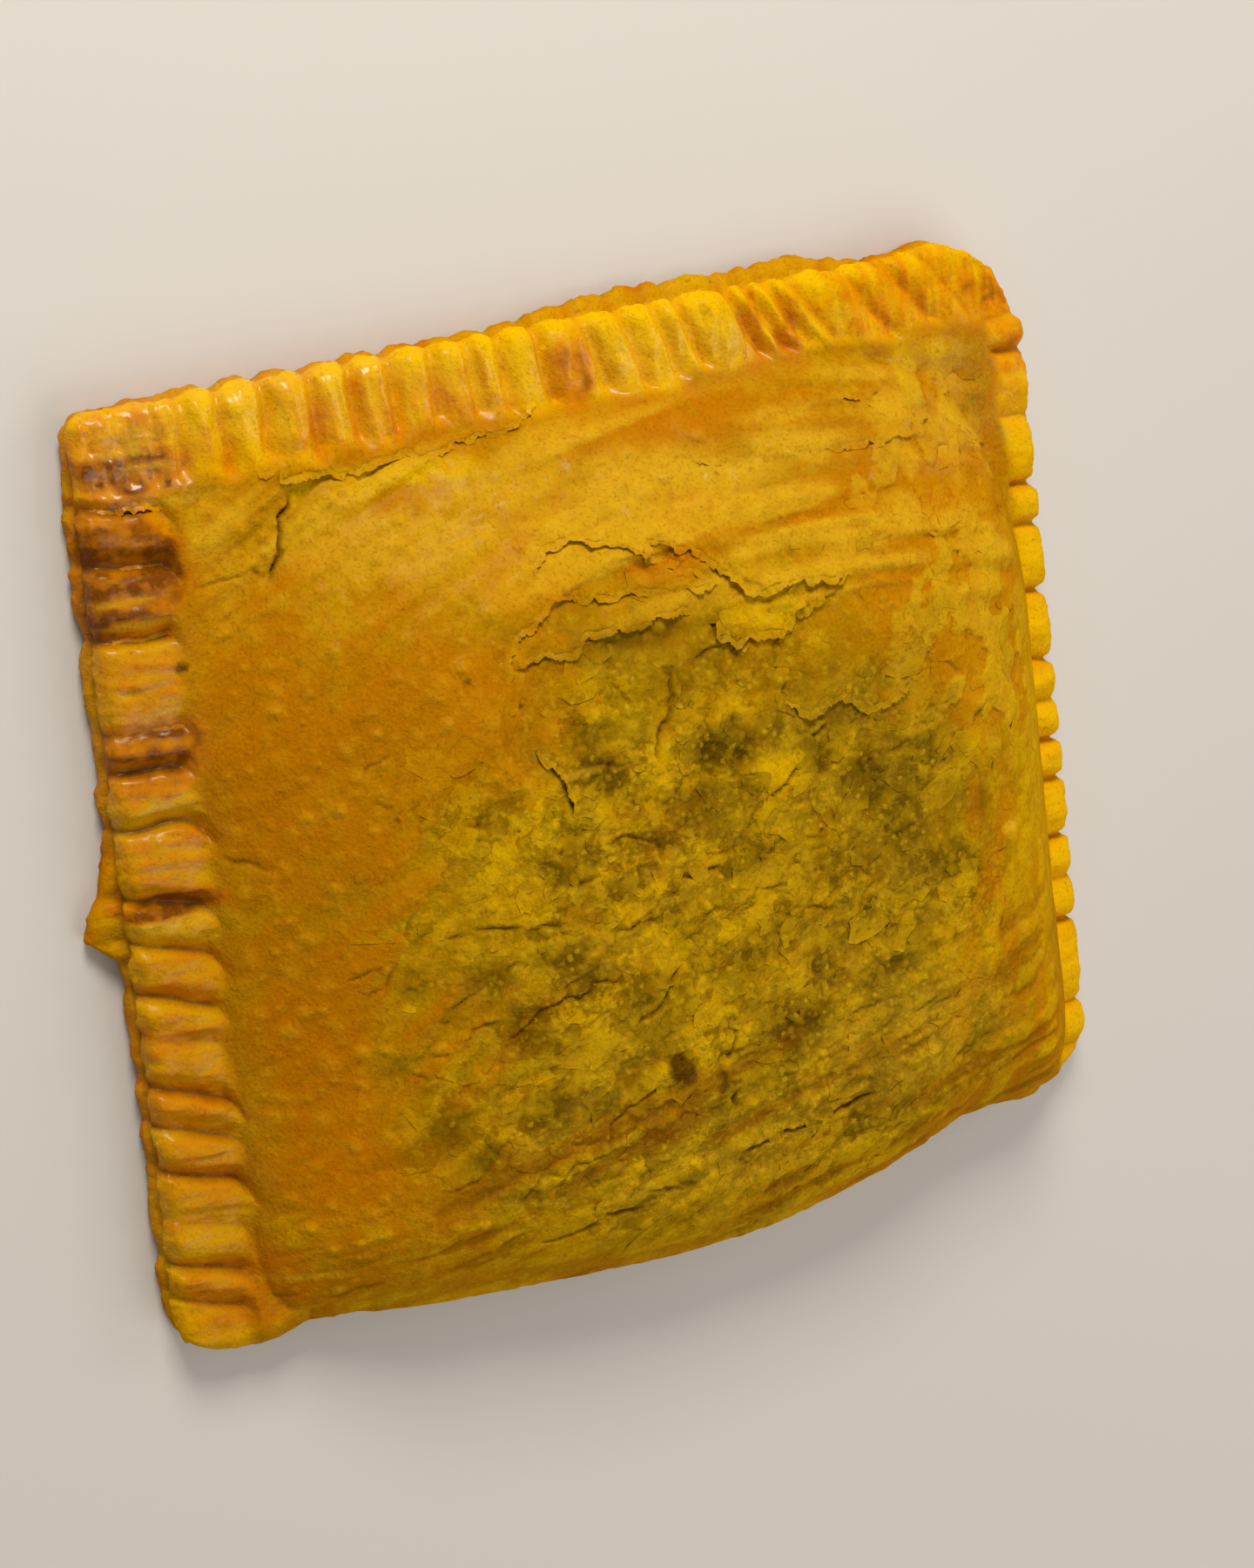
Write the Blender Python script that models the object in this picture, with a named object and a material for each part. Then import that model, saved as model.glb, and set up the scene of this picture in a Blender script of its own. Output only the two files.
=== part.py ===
"""A baked hand pie: one sheet of dough folded over a filling along its lower side, and crimped on the other three.

It lies on its flat back, +Z up, with the fold towards -Y. The origin is under the middle of its bounding box.
Every length in this file is in millimetres until MM turns it into metres.
"""

import bpy
import numpy as np

MM = 0.001

# Corners of the upper sheet, walked anticlockwise, and how much of each corner is rounded away
SIDES = ("bottom", "right", "top", "left")
CRIMPED = ("right", "top", "left")
CORNER = {"bottom": (-68.0, -57.2), "right": (69.6, -57.0), "top": (64.4, 61.5), "left": (-62.4, 55.0)}
CORNER_CUT = {"bottom": 5.0, "right": 8.5, "top": 13.0, "left": 2.5}

# Where the sides bow out or in: the place of each swell from the side's first corner, its spread and its reach
SWELLS = {
    "bottom": ((20.0, 9.0, -2.0), (74.0, 28.0, 4.2), (114.0, 12.0, -3.0)),
    "right": ((59.0, 45.0, 0.4),),
    "top": ((13.0, 4.5, 1.1), (63.0, 40.0, 0.2)),
    "left": ((88.0, 25.0, -0.5),),
}
ARC_SHARE = 1.0 - 0.5**0.5
MEETING_POWER = 12

# Thickness: the pressed rim, what the filling adds in the middle, and how the top climbs from each side
RIM = 7.0
CROWN = 15.5
RISE_START = {"bottom": -2.0, "right": 5.4, "top": 9.6, "left": 9.8}
RISE_LENGTH = {"bottom": 31.0, "right": 29.0, "top": 38.0, "left": 40.0}
RISE_POWER = {"bottom": 2.0, "right": 1.9, "top": 1.8, "left": 1.8}
RISE_ROUND = {"bottom": 0.5, "right": 0.72, "top": 0.9, "left": 0.95}
BODY_EDGE = (8.0, 16.0)
CORNER_POWER = (2.1, 6.5)
CORNER_CHANGE = (5.0, -40.0)
LUMP_SIZE = 13.0
LUMP_HEIGHT = 0.35

# Crimps: the place and depth of each groove across the rim
GROOVES = {
    "left": (
        (44.2, 1.5), (38.0, 1.9), (29.8, 2.0), (19.3, 0.9), (14.6, 1.7), (8.0, 1.6), (-1.2, 1.8), (-7.0, 1.5),
        (-13.8, 1.7), (-18.5, 0.9), (-25.3, 1.8), (-30.0, 1.6), (-35.8, 1.7), (-41.8, 0.8), (-47.6, 1.7), (-52.2, 1.4),
    ),
    "right": (
        (51.9, 1.5), (47.4, 1.6), (38.6, 0.7), (29.0, 2.2), (23.6, 1.8), (14.1, 2.4), (4.4, 2.0), (-1.4, 1.2),
        (-7.4, 2.2), (-13.2, 2.0), (-21.4, 2.2), (-27.8, 1.2), (-34.1, 2.4), (-47.2, 1.6), (-53.5, 1.2),
    ),
    "top": (
        (-51.0, 1.2), (-45.9, 1.4), (-40.6, 1.6), (-35.3, 1.5), (-30.3, 1.5), (-25.0, 1.5), (-19.8, 1.3),
        (-15.3, 1.0), (-11.0, 1.2), (-5.5, 1.6), (1.8, 1.2), (6.8, 1.2), (11.5, 1.0), (15.5, 1.3), (23.2, 1.5),
        (26.6, 1.5), (29.6, 1.2), (33.0, 0.9), (41.5, 0.9), (47.5, 0.8), (53.0, 0.9),
    ),
}
# How wide a groove is on its two flanks, how round the dough stands between grooves, and how far in they run
GROOVE_WIDTH = {"right": (0.9, 0.9), "top": (0.9, 1.2), "left": (0.7, 1.7)}
TILE_SAG = {"right": 1.4, "top": 0.7, "left": 0.7}
CRIMP_LENGTH = {"right": 6.2, "top": 9.6, "left": 9.8}
CRIMP_MIDDLE = 6.0
CRIMP_END = (1.4, 0.8)
CRIMP_UNEVEN = 0.9
CRIMP_WANDER = 0.45
WANDER_SIZE = 4.5

# How the crimps lean along the rim for each millimetre inward: a lean, and where along the rim it comes in
CRIMP_LEAN = {
    "right": (),
    "top": ((0.35, -20.0, 5.0), (0.5, 10.0, 40.0)),
    "left": ((-0.08, 80.0, 60.0), (-0.3, 10.0, -12.0)),
}

# How far the rim's outline is drawn in at a groove, as a share of its depth, and how round its edge is
SCALLOP = {"right": 0.65, "top": 0.45, "left": 0.25}
SCALLOP_TAPER = 3.0
EDGE_ROUND = {"right": 3.2, "top": 2.4, "left": 1.5}
EDGE_DROP = {"right": 2.2, "top": 1.4, "left": 0.9}

# The bared patch in the middle, where the outermost layer has flaked away
PATCH_MIDDLE = (-2.0, 12.0)
PATCH_REACH = (19.5, 20.5)
PATCH_STEP = 0.45
PATCH_LOW_EDGE = (-4.0, 10.0)
RAGGED_SIZE = 4.0
RAGGED_SHARE = 0.10

# Edges of broken layers: how far the layer on the left of each line stands up, and the line
BROKEN_EDGES = (
    (0.7, ((-15.0, 31.2), (-13.5, 33.8), (-10.0, 34.5), (-6.0, 33.3), (-1.5, 31.8), (3.5, 31.4), (7.5, 29.5),
           (10.5, 25.1), (16.0, 25.2), (25.0, 25.2))),
    (0.5, ((-21.0, 19.8), (-20.0, 23.8), (-16.0, 26.3), (-11.5, 27.7), (-3.0, 27.5), (4.5, 26.3), (8.5, 27.1))),
    (0.6, ((-17.0, 22.0), (-13.0, 21.5), (-10.0, 23.8), (-5.5, 22.9), (-1.0, 24.4), (4.5, 24.6))),
    (0.7, ((6.5, 21.5), (8.5, 19.2), (11.0, 19.9), (15.5, 19.8), (17.5, 23.0), (19.0, 24.0))),
    (0.6, ((-40.0, 46.5), (-37.0, 45.5), (-33.0, 44.8), (-29.0, 45.7), (-23.5, 45.6), (-16.5, 47.0), (-8.0, 49.0))),
)
BROKEN_FADE = 4.0
BROKEN_TAPER = 3.0
BROKEN_SLOPE = 0.5

# The lower sheet, which shows below the seam of the crimped sides, and its torn flap on the left
SHEET_OUT = {"right": 0.2, "top": 0.2, "left": 0.5}
TOP_LEDGE = 1.7
TOP_LEDGE_START = (-14.0, 4.0)
TOP_LEDGE_END = (46.0, 30.0)
FLAP_TOP, FLAP_TIP, FLAP_END = 5.0, -5.0, -8.0
FLAP_REACH = 4.0
SHEET_RAGGED_SIZE = 3.0
SHEET_RAGGED_REACH = 0.25
CRIMPED_WALL = (
    (0.0, 1.0), (0.5, 0.9), (0.6, 0.74), (0.2, 0.62), (-0.5, 0.54), (0.1, 0.46), (0.6, 0.34), (0.6, 0.16),
    (0.1, 0.04), (-0.7, 0.0),
)
SEAM_ROW = 4
ROLL_START = 42.0
ROLL_REACH = 9.5
SOFT_CORNER = 9.0

# The mesh: spacing of the first grid, and the number of triangles that are kept
GRID = 0.85
BASE_STRIDE = 8
TRIANGLES = 10800
FLAT_BELOW = 0.12
SEED = 11

CRUST_COLOUR = (0.60, 0.33, 0.01, 1.0)
CRUST_ROUGHNESS = 0.5


def ramp(low, high, value):
    """A smooth step from 0 at low to 1 at high."""
    share = np.clip((value - low) / (high - low), 0.0, 1.0)
    return share * share * (3.0 - 2.0 * share)


def noise(x, y, size, seed):
    """Smooth lumps of one size, between -1 and 1."""
    cells = 64
    table = np.random.default_rng(seed).uniform(-1.0, 1.0, (cells, cells))
    column, row = np.floor(x / size).astype(int), np.floor(y / size).astype(int)
    across, up = x / size - column, y / size - row
    across, up = across * across * (3 - 2 * across), up * up * (3 - 2 * up)
    left, right, low, high = column % cells, (column + 1) % cells, row % cells, (row + 1) % cells
    lower = table[left, low] * (1 - across) + table[right, low] * across
    upper = table[left, high] * (1 - across) + table[right, high] * across
    return lower * (1 - up) + upper * up


def following_side(side):
    """The side that comes next, walking anticlockwise."""
    return SIDES[(SIDES.index(side) + 1) % len(SIDES)]


def side_frame(side):
    """A side's first corner, its direction, its outward direction and its length."""
    start = np.array(CORNER[side])
    run = np.array(CORNER[following_side(side)]) - start
    length = np.hypot(*run)
    along = run / length
    return start, along, np.array([along[1], -along[0]]), length


def swell(side, place):
    """How far a side bows out, at places measured from its first corner."""
    reach = np.zeros_like(place)
    for middle, spread, height in SWELLS[side]:
        reach = reach + height * np.exp(-(((place - middle) / spread) ** 2))
    return reach


def inward(side, x, y):
    """How far points lie inside a side."""
    start, along, out, _ = side_frame(side)
    place = (x - start[0]) * along[0] + (y - start[1]) * along[1]
    return swell(side, place) - (x - start[0]) * out[0] - (y - start[1]) * out[1]


def crimp_lean(side, place):
    """How much the crimps lean along the rim for each millimetre inward."""
    lean = np.zeros_like(place)
    for reach, start, end in CRIMP_LEAN[side]:
        lean = lean + reach * ramp(start, end, place)
    return lean


def grooves(side, x, y):
    """How deep the crimps of one side cut at each point."""
    depth_in = inward(side, x, y)
    along = x if side == "top" else y
    along = along - crimp_lean(side, along) * (depth_in - CRIMP_MIDDLE)
    along = along + CRIMP_WANDER * noise(x, y, WANDER_SIZE, SEED + 4)
    places = np.sort([place for place, _ in GROOVES[side]])
    index = np.clip(np.searchsorted(places, along), 1, len(places) - 1)
    share = (along - places[index - 1]) / (places[index] - places[index - 1])
    cut = TILE_SAG[side] * np.clip(2.0 * share - 1.0, -1.0, 1.0) ** 2
    for place, depth in GROOVES[side]:
        off = along - place
        width = np.where(off < 0, *GROOVE_WIDTH[side])
        cut = np.maximum(cut, depth * np.exp(-((off / width) ** 2)))
    length = CRIMP_LENGTH[side] + CRIMP_UNEVEN * noise(along, np.zeros_like(along), WANDER_SIZE, SEED + 5)
    return cut * (1.0 - ramp(length - CRIMP_END[0], length + CRIMP_END[1], depth_in))


def pillow(x, y):
    """The height that the filling adds: flat inside, falling to nothing at the inner ends of the crimps."""
    total, power, rounding, weight = 0.0, 0.0, 0.0, 1e-6
    corner = CORNER_POWER[0] + (CORNER_POWER[1] - CORNER_POWER[0]) * ramp(*CORNER_CHANGE, y)
    for side in SIDES:
        pull = 1.0 - np.clip((inward(side, x, y) - RISE_START[side]) / RISE_LENGTH[side], 0.0, 1.0)
        total = total + pull**corner
        power = power + pull * RISE_POWER[side]
        rounding = rounding + pull * RISE_ROUND[side]
        weight = weight + pull
    pull = np.clip(total, 0.0, 1.0) ** (1.0 / corner)
    return CROWN * (1.0 - pull ** np.maximum(power / weight, 1.0)) ** np.maximum(rounding / weight, 0.5)


def patch(x, y):
    """1 on the bared patch, 0 outside its ragged edge."""
    off_x, off_y = (x - PATCH_MIDDLE[0]) / PATCH_REACH[0], (y - PATCH_MIDDLE[1]) / PATCH_REACH[1]
    ragged = RAGGED_SHARE * noise(x, y, RAGGED_SIZE, SEED + 1)
    return ramp(1.0, 0.95, np.hypot(off_x, off_y) + ragged) * ramp(*PATCH_LOW_EDGE, y)


def near_line(x, y, points):
    """Distance from a line of points, which side of it each place is on (left is above 0), and how far along."""
    best = np.full_like(x, np.inf)
    side, place, run = np.zeros_like(x), np.zeros_like(x), 0.0
    for (x0, y0), (x1, y1) in zip(points, points[1:]):
        length = np.hypot(x1 - x0, y1 - y0)
        share = np.clip(((x - x0) * (x1 - x0) + (y - y0) * (y1 - y0)) / length**2, 0.0, 1.0)
        distance = np.hypot(x - x0 - share * (x1 - x0), y - y0 - share * (y1 - y0))
        nearer = distance < best
        best = np.where(nearer, distance, best)
        side = np.where(nearer, (x1 - x0) * (y - y0) - (y1 - y0) * (x - x0), side)
        place = np.where(nearer, run + share * length, place)
        run += length
    return best, np.sign(side), np.minimum(place, run - place)


def broken_layers(x, y):
    """The raised edges of layers that have broken."""
    raised = np.zeros_like(x)
    for lift, points in BROKEN_EDGES:
        distance, side, from_end = near_line(x, y, points)
        edge = ramp(-BROKEN_SLOPE, BROKEN_SLOPE, side * distance)
        raised = raised + lift * edge * np.exp(-distance / BROKEN_FADE) * ramp(0.0, BROKEN_TAPER, from_end)
    return raised


def top_height(x, y):
    """Height of the upper face over the flat back."""
    height = RIM + pillow(x, y)
    body = ramp(*BODY_EDGE, np.minimum.reduce([inward(side, x, y) for side in CRIMPED]))
    height = height + LUMP_HEIGHT * body * noise(x, y, LUMP_SIZE, SEED + 2)
    height = height - PATCH_STEP * patch(x, y) + broken_layers(x, y)
    for side in CRIMPED:
        near = np.clip(1.0 - inward(side, x, y) / EDGE_ROUND[side], 0.0, 1.0)
        height = height - grooves(side, x, y) - EDGE_DROP[side] * (1.0 - np.sqrt(1.0 - near**2))
    return height


def side_line(side, share):
    """Points of the upper sheet's edge along a side, from the middle of one rounded corner to the next."""
    start, along, out, length = side_frame(side)
    first, last = CORNER_CUT[side], CORNER_CUT[following_side(side)]
    place = ARC_SHARE * first + share * (length - ARC_SHARE * (first + last))
    from_start = np.clip(first - place, 0.0, None)
    from_end = np.clip(last - (length - place), 0.0, None)
    cut = first - np.sqrt(first**2 - from_start**2) + last - np.sqrt(last**2 - from_end**2)
    return start + np.outer(place, along) + np.outer(swell(side, place) - cut, out)


def edge_lines(counts):
    """The four side lines with their corners made to meet, from the counts of steps across and up."""
    lines = {}
    for side in SIDES:
        lines[side] = side_line(side, np.linspace(0.0, 1.0, counts[SIDES.index(side) % 2] + 1))
    for side in SIDES:
        following = lines[following_side(side)]
        meeting = (lines[side][-1] + following[0]) / 2
        fade = np.linspace(0.0, 1.0, len(lines[side]))[:, None] ** MEETING_POWER
        lines[side] = lines[side] + fade * (meeting - lines[side][-1])
        fade = np.linspace(1.0, 0.0, len(following))[:, None] ** MEETING_POWER
        following += fade * (meeting - following[0])
    return lines


def scalloped(lines):
    """The side lines, drawn in a little at each groove of the crimps."""
    notched = dict(lines)
    for side in CRIMPED:
        line = lines[side]
        out = side_frame(side)[2]
        from_end = np.minimum(np.arange(len(line)), np.arange(len(line))[::-1]) * GRID
        notch = SCALLOP[side] * grooves(side, line[:, 0], line[:, 1]) * ramp(0.0, SCALLOP_TAPER, from_end)
        notched[side] = line - np.outer(notch, out)
    return notched


def ring_of(lines):
    """The side lines joined into one closed ring."""
    return np.concatenate([lines[side][:-1] for side in SIDES])


def outward_of(ring):
    """Outward directions of an anticlockwise ring."""
    run = np.roll(ring, -1, 0) - np.roll(ring, 1, 0)
    out = np.stack([run[:, 1], -run[:, 0]], 1)
    return out / np.linalg.norm(out, axis=1)[:, None]


def side_weight(counts, side):
    """1 on a side of the ring and 0 on the others, with soft ends."""
    lengths = [counts[k % 2] for k in range(len(SIDES))]
    place = np.arange(sum(lengths)) - sum(lengths[: SIDES.index(side)])
    steps = lengths[SIDES.index(side)]
    soft = SOFT_CORNER / GRID
    return ramp(0.0, soft, place) * ramp(steps, steps - soft, place)


def sheet_reach(ring, counts):
    """How far the lower sheet stands out past the upper one."""
    x, y = ring[:, 0], ring[:, 1]
    reach = SHEET_RAGGED_REACH * noise(x, y, SHEET_RAGGED_SIZE, SEED + 3)
    for side in CRIMPED:
        reach = reach + SHEET_OUT[side] * side_weight(counts, side)
    ledge = ramp(*TOP_LEDGE_START, x) * ramp(*TOP_LEDGE_END, x)
    reach = reach + TOP_LEDGE * ledge * side_weight(counts, "top")
    above = (FLAP_TOP - y) / (FLAP_TOP - FLAP_TIP)
    below = (y - FLAP_END) / (FLAP_TIP - FLAP_END)
    flap = np.clip(np.minimum(above, below), 0.0, 1.0)
    return reach + FLAP_REACH * flap * side_weight(counts, "left")


def fill_patch(ring, counts):
    """A grid that fills a closed ring of points, blended between its four sides."""
    wide, tall = counts
    bottom = ring[: wide + 1]
    right = ring[wide : wide + tall + 1]
    top = ring[wide + tall : 2 * wide + tall + 1][::-1]
    left = np.concatenate([ring[2 * wide + tall :], ring[:1]])[::-1]
    u, v = np.linspace(0, 1, wide + 1)[:, None, None], np.linspace(0, 1, tall + 1)[None, :, None]
    ruled = (1 - v) * bottom[:, None] + v * top[:, None] + (1 - u) * left[None] + u * right[None]
    corners = (1 - u) * ((1 - v) * bottom[0] + v * top[0]) + u * ((1 - v) * bottom[-1] + v * top[-1])
    return ruled - corners


def wall_rows(ring, heights, counts):
    """Rows of points from the upper edge down to the back: a laminated crimp, or a roll along the fold."""
    out = outward_of(ring_of(edge_lines(counts)))
    fold = side_weight(counts, "bottom")
    reach = sheet_reach(ring, counts)
    start = np.radians(ROLL_START)
    rows = []
    for number, (step, level) in enumerate(CRIMPED_WALL):
        turn = start + (np.pi - start) * number / (len(CRIMPED_WALL) - 1)
        roll_step = ROLL_REACH * (np.sin(turn) - np.sin(start))
        roll_level = (1.0 + np.cos(turn)) / (1.0 + np.cos(start))
        sheet = reach if number > SEAM_ROW else 0.0
        shift = fold * roll_step + (1.0 - fold) * (step + sheet)
        share = fold * roll_level + (1.0 - fold) * level
        rows.append(np.column_stack([ring + out * shift[:, None], heights * share]))
    return rows


def ring_places(wide, tall):
    """Grid places of the border points of a grid, walked anticlockwise."""
    bottom = [(i, 0) for i in range(wide)]
    right = [(wide, j) for j in range(tall)]
    top = [(i, tall) for i in range(wide, 0, -1)]
    left = [(0, j) for j in range(tall, 0, -1)]
    return bottom + right + top + left


def closed_mesh():
    """Points and faces of the whole pie."""
    span = (CORNER["right"][0] - CORNER["bottom"][0], CORNER["top"][1] - CORNER["right"][1])
    counts = [int(reach / GRID) // BASE_STRIDE * BASE_STRIDE for reach in span]
    ring = ring_of(scalloped(edge_lines(counts)))
    plan = fill_patch(ring, counts)
    front = np.dstack([plan, top_height(plan[..., 0], plan[..., 1])])
    places = ring_places(*counts)
    heights = np.array([front[place][2] for place in places])
    rows = wall_rows(ring, heights, counts)
    back = fill_patch(rows[-1][:, :2], counts)[::BASE_STRIDE, ::BASE_STRIDE]
    return assemble(front, rows, back, places)


def assemble(front, rows, back, places):
    """One closed list of points and faces from the front grid, the wall rows and the coarse back grid."""
    wide, tall = front.shape[0] - 1, front.shape[1] - 1
    column = tall + 1
    points = [front.reshape(-1, 3)]
    faces = []
    for i in range(wide):
        for j in range(tall):
            a = i * column + j
            faces.append((a, a + column, a + column + 1, a + 1))
    upper = np.array([i * column + j for i, j in places])
    total, size = len(points[0]), len(places)
    for row in rows[1:]:
        lower = total + np.arange(size)
        points.append(row)
        total += size
        for k in range(size):
            after = (k + 1) % size
            faces.append((int(upper[after]), int(upper[k]), int(lower[k]), int(lower[after])))
        upper = lower
    steps = (back.shape[0] - 1, back.shape[1] - 1)
    inner, back_points = {}, []
    for i in range(1, steps[0]):
        for j in range(1, steps[1]):
            inner[i, j] = total + len(back_points)
            back_points.append((back[i, j, 0], back[i, j, 1], 0.0))
    points.append(np.array(back_points))
    border = {place: int(upper[k]) for k, place in enumerate(places)}
    for i in range(steps[0]):
        for j in range(steps[1]):
            faces.append(back_face(i, j, steps, inner, border))
    return np.concatenate(points), faces


def back_face(i, j, steps, inner, border):
    """One face of the back, facing down, with every border point of its sides."""
    corners = [(i, j), (i, j + 1), (i + 1, j + 1), (i + 1, j)]
    face = []
    for here, there in zip(corners, corners[1:] + corners[:1]):
        if here in inner:
            face.append(inner[here])
        else:
            face.append(border[here[0] * BASE_STRIDE, here[1] * BASE_STRIDE])
        step = (there[0] - here[0], there[1] - here[1])
        along_left_or_right = step[0] == 0 and here[0] in (0, steps[0])
        along_bottom_or_top = step[1] == 0 and here[1] in (0, steps[1])
        if along_left_or_right or along_bottom_or_top:
            for k in range(1, BASE_STRIDE):
                face.append(border[here[0] * BASE_STRIDE + step[0] * k, here[1] * BASE_STRIDE + step[1] * k])
    return tuple(face)


def thinned(pie):
    """Keep the number of triangles that the solid needs, and lay its back flat again."""
    triangles = sum(len(face.vertices) - 2 for face in pie.data.polygons)
    thin = pie.modifiers.new("thin", "DECIMATE")
    thin.ratio = TRIANGLES / triangles
    evaluated = pie.evaluated_get(bpy.context.evaluated_depsgraph_get())
    mesh = bpy.data.meshes.new_from_object(evaluated)
    pie.modifiers.clear()
    pie.data = mesh
    for vertex in mesh.vertices:
        if vertex.co.z < FLAT_BELOW * MM:
            vertex.co.z = 0.0


def crust_material():
    """Baked yellow dough."""
    material = bpy.data.materials.new("baked_crust")
    material.use_nodes = True
    shader = material.node_tree.nodes["Principled BSDF"]
    shader.inputs["Base Color"].default_value = CRUST_COLOUR
    shader.inputs["Roughness"].default_value = CRUST_ROUGHNESS
    shader.inputs["Metallic"].default_value = 0.0
    return material


def make_patty():
    """The pie as one closed solid, with the origin under the middle of its box."""
    points, faces = closed_mesh()
    middle = (points.min(0) + points.max(0)) / 2
    points = (points - [middle[0], middle[1], 0.0]) * MM
    mesh = bpy.data.meshes.new("patty")
    mesh.from_pydata(points.tolist(), [], faces)
    pie = bpy.data.objects.new("patty", mesh)
    bpy.context.scene.collection.objects.link(pie)
    thinned(pie)
    pie.data.shade_smooth()
    pie.data.materials.append(crust_material())


def main():
    for item in list(bpy.data.objects):
        bpy.data.objects.remove(item)
    make_patty()


main()
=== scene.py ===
"""The looks of a baked hand pie: its crust with crimps, cracks, blisters and broken layers, and its browning.

The form repeats the solid's own named sizes, on a finer grid. Lengths are in millimetres until MM turns them
into metres, with the same origin as the solid: under the middle of its bounding box, +Z up.
"""

import bpy
import numpy as np
from mathutils import Matrix, Vector


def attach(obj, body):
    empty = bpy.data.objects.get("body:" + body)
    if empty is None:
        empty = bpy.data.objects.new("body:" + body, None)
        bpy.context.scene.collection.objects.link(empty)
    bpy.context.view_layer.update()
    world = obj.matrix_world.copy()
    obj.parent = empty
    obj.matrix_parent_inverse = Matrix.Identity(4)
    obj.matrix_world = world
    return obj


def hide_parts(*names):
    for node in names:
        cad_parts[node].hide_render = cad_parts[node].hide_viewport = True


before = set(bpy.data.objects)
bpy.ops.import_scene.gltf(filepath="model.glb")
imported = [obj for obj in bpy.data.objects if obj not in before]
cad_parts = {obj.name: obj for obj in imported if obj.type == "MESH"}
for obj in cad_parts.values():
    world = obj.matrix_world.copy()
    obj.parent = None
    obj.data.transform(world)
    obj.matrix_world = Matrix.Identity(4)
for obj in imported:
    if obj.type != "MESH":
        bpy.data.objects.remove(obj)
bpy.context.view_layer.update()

MM = 0.001

# Corners of the upper sheet, walked anticlockwise, and how much of each corner is rounded away
SIDES = ("bottom", "right", "top", "left")
CRIMPED = ("right", "top", "left")
CORNER = {"bottom": (-68.0, -57.2), "right": (69.6, -57.0), "top": (64.4, 61.5), "left": (-62.4, 55.0)}
CORNER_CUT = {"bottom": 5.0, "right": 8.5, "top": 13.0, "left": 2.5}
SWELLS = {
    "bottom": ((20.0, 9.0, -2.0), (74.0, 28.0, 4.2), (114.0, 12.0, -3.0)),
    "right": ((59.0, 45.0, 0.4),),
    "top": ((13.0, 4.5, 1.1), (63.0, 40.0, 0.2)),
    "left": ((88.0, 25.0, -0.5),),
}
ARC_SHARE = 1.0 - 0.5**0.5
MEETING_POWER = 12

# Thickness: the pressed rim, what the filling adds in the middle, and how the top climbs from each side
RIM = 7.0
CROWN = 15.5
RISE_START = {"bottom": -2.0, "right": 5.4, "top": 9.6, "left": 9.8}
RISE_LENGTH = {"bottom": 31.0, "right": 29.0, "top": 38.0, "left": 40.0}
RISE_POWER = {"bottom": 2.0, "right": 1.9, "top": 1.8, "left": 1.8}
RISE_ROUND = {"bottom": 0.5, "right": 0.72, "top": 0.9, "left": 0.95}
BODY_EDGE = (8.0, 16.0)
CORNER_POWER = (2.1, 6.5)
CORNER_CHANGE = (5.0, -40.0)
LUMP_SIZE = 13.0
LUMP_HEIGHT = 0.35

# Crimps: the place and depth of each groove across the rim
GROOVES = {
    "left": (
        (44.2, 1.5), (38.0, 1.9), (29.8, 2.0), (19.3, 0.9), (14.6, 1.7), (8.0, 1.6), (-1.2, 1.8),
        (-7.0, 1.5), (-13.8, 1.7), (-18.5, 0.9), (-25.3, 1.8), (-30.0, 1.6), (-35.8, 1.7), (-41.8, 0.8),
        (-47.6, 1.7), (-52.2, 1.4),
    ),
    "right": (
        (51.9, 1.5), (47.4, 1.6), (38.6, 0.7), (29.0, 2.2), (23.6, 1.8), (14.1, 2.4), (4.4, 2.0), (-1.4, 1.2),
        (-7.4, 2.2), (-13.2, 2.0), (-21.4, 2.2), (-27.8, 1.2), (-34.1, 2.4), (-47.2, 1.6), (-53.5, 1.2),
    ),
    "top": (
        (-51.0, 1.2), (-45.9, 1.4), (-40.6, 1.6), (-35.3, 1.5), (-30.3, 1.5), (-25.0, 1.5), (-19.8, 1.3),
        (-15.3, 1.0), (-11.0, 1.2), (-5.5, 1.6), (1.8, 1.2), (6.8, 1.2), (11.5, 1.0), (15.5, 1.3),
        (23.2, 1.5), (26.6, 1.5), (29.6, 1.2), (33.0, 0.9), (41.5, 0.9), (47.5, 0.8), (53.0, 0.9),
    ),
}
GROOVE_WIDTH = {"right": (0.9, 0.9), "top": (0.9, 1.2), "left": (0.7, 1.7)}
TILE_SAG = {"right": 1.4, "top": 0.7, "left": 0.7}
CRIMP_LENGTH = {"right": 6.2, "top": 9.6, "left": 9.8}
CRIMP_MIDDLE = 6.0
CRIMP_END = (1.4, 0.8)
CRIMP_UNEVEN = 0.9
CRIMP_WANDER = 0.45
WANDER_SIZE = 4.5
CRIMP_LEAN = {
    "right": (),
    "top": ((0.35, -20.0, 5.0), (0.5, 10.0, 40.0)),
    "left": ((-0.08, 80.0, 60.0), (-0.3, 10.0, -12.0)),
}
SCALLOP = {"right": 0.65, "top": 0.45, "left": 0.25}
SCALLOP_TAPER = 3.0
SCALLOP_ROUGH = 0.2
SCALLOP_ROUGH_SIZE = 1.5
EDGE_ROUND = {"right": 3.2, "top": 2.4, "left": 1.5}
EDGE_DROP = {"right": 2.2, "top": 1.4, "left": 0.9}

# The bared patch in the middle, where the outermost layer has flaked away
PATCH_MIDDLE = (-2.0, 12.0)
PATCH_REACH = (19.5, 20.5)
PATCH_STEP = 0.45
PATCH_EDGE = (1.0, 0.95)
PATCH_LOW_EDGE = (-4.0, 10.0)
RAGGED_SIZE = 4.0
RAGGED_SHARE = 0.10

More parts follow.
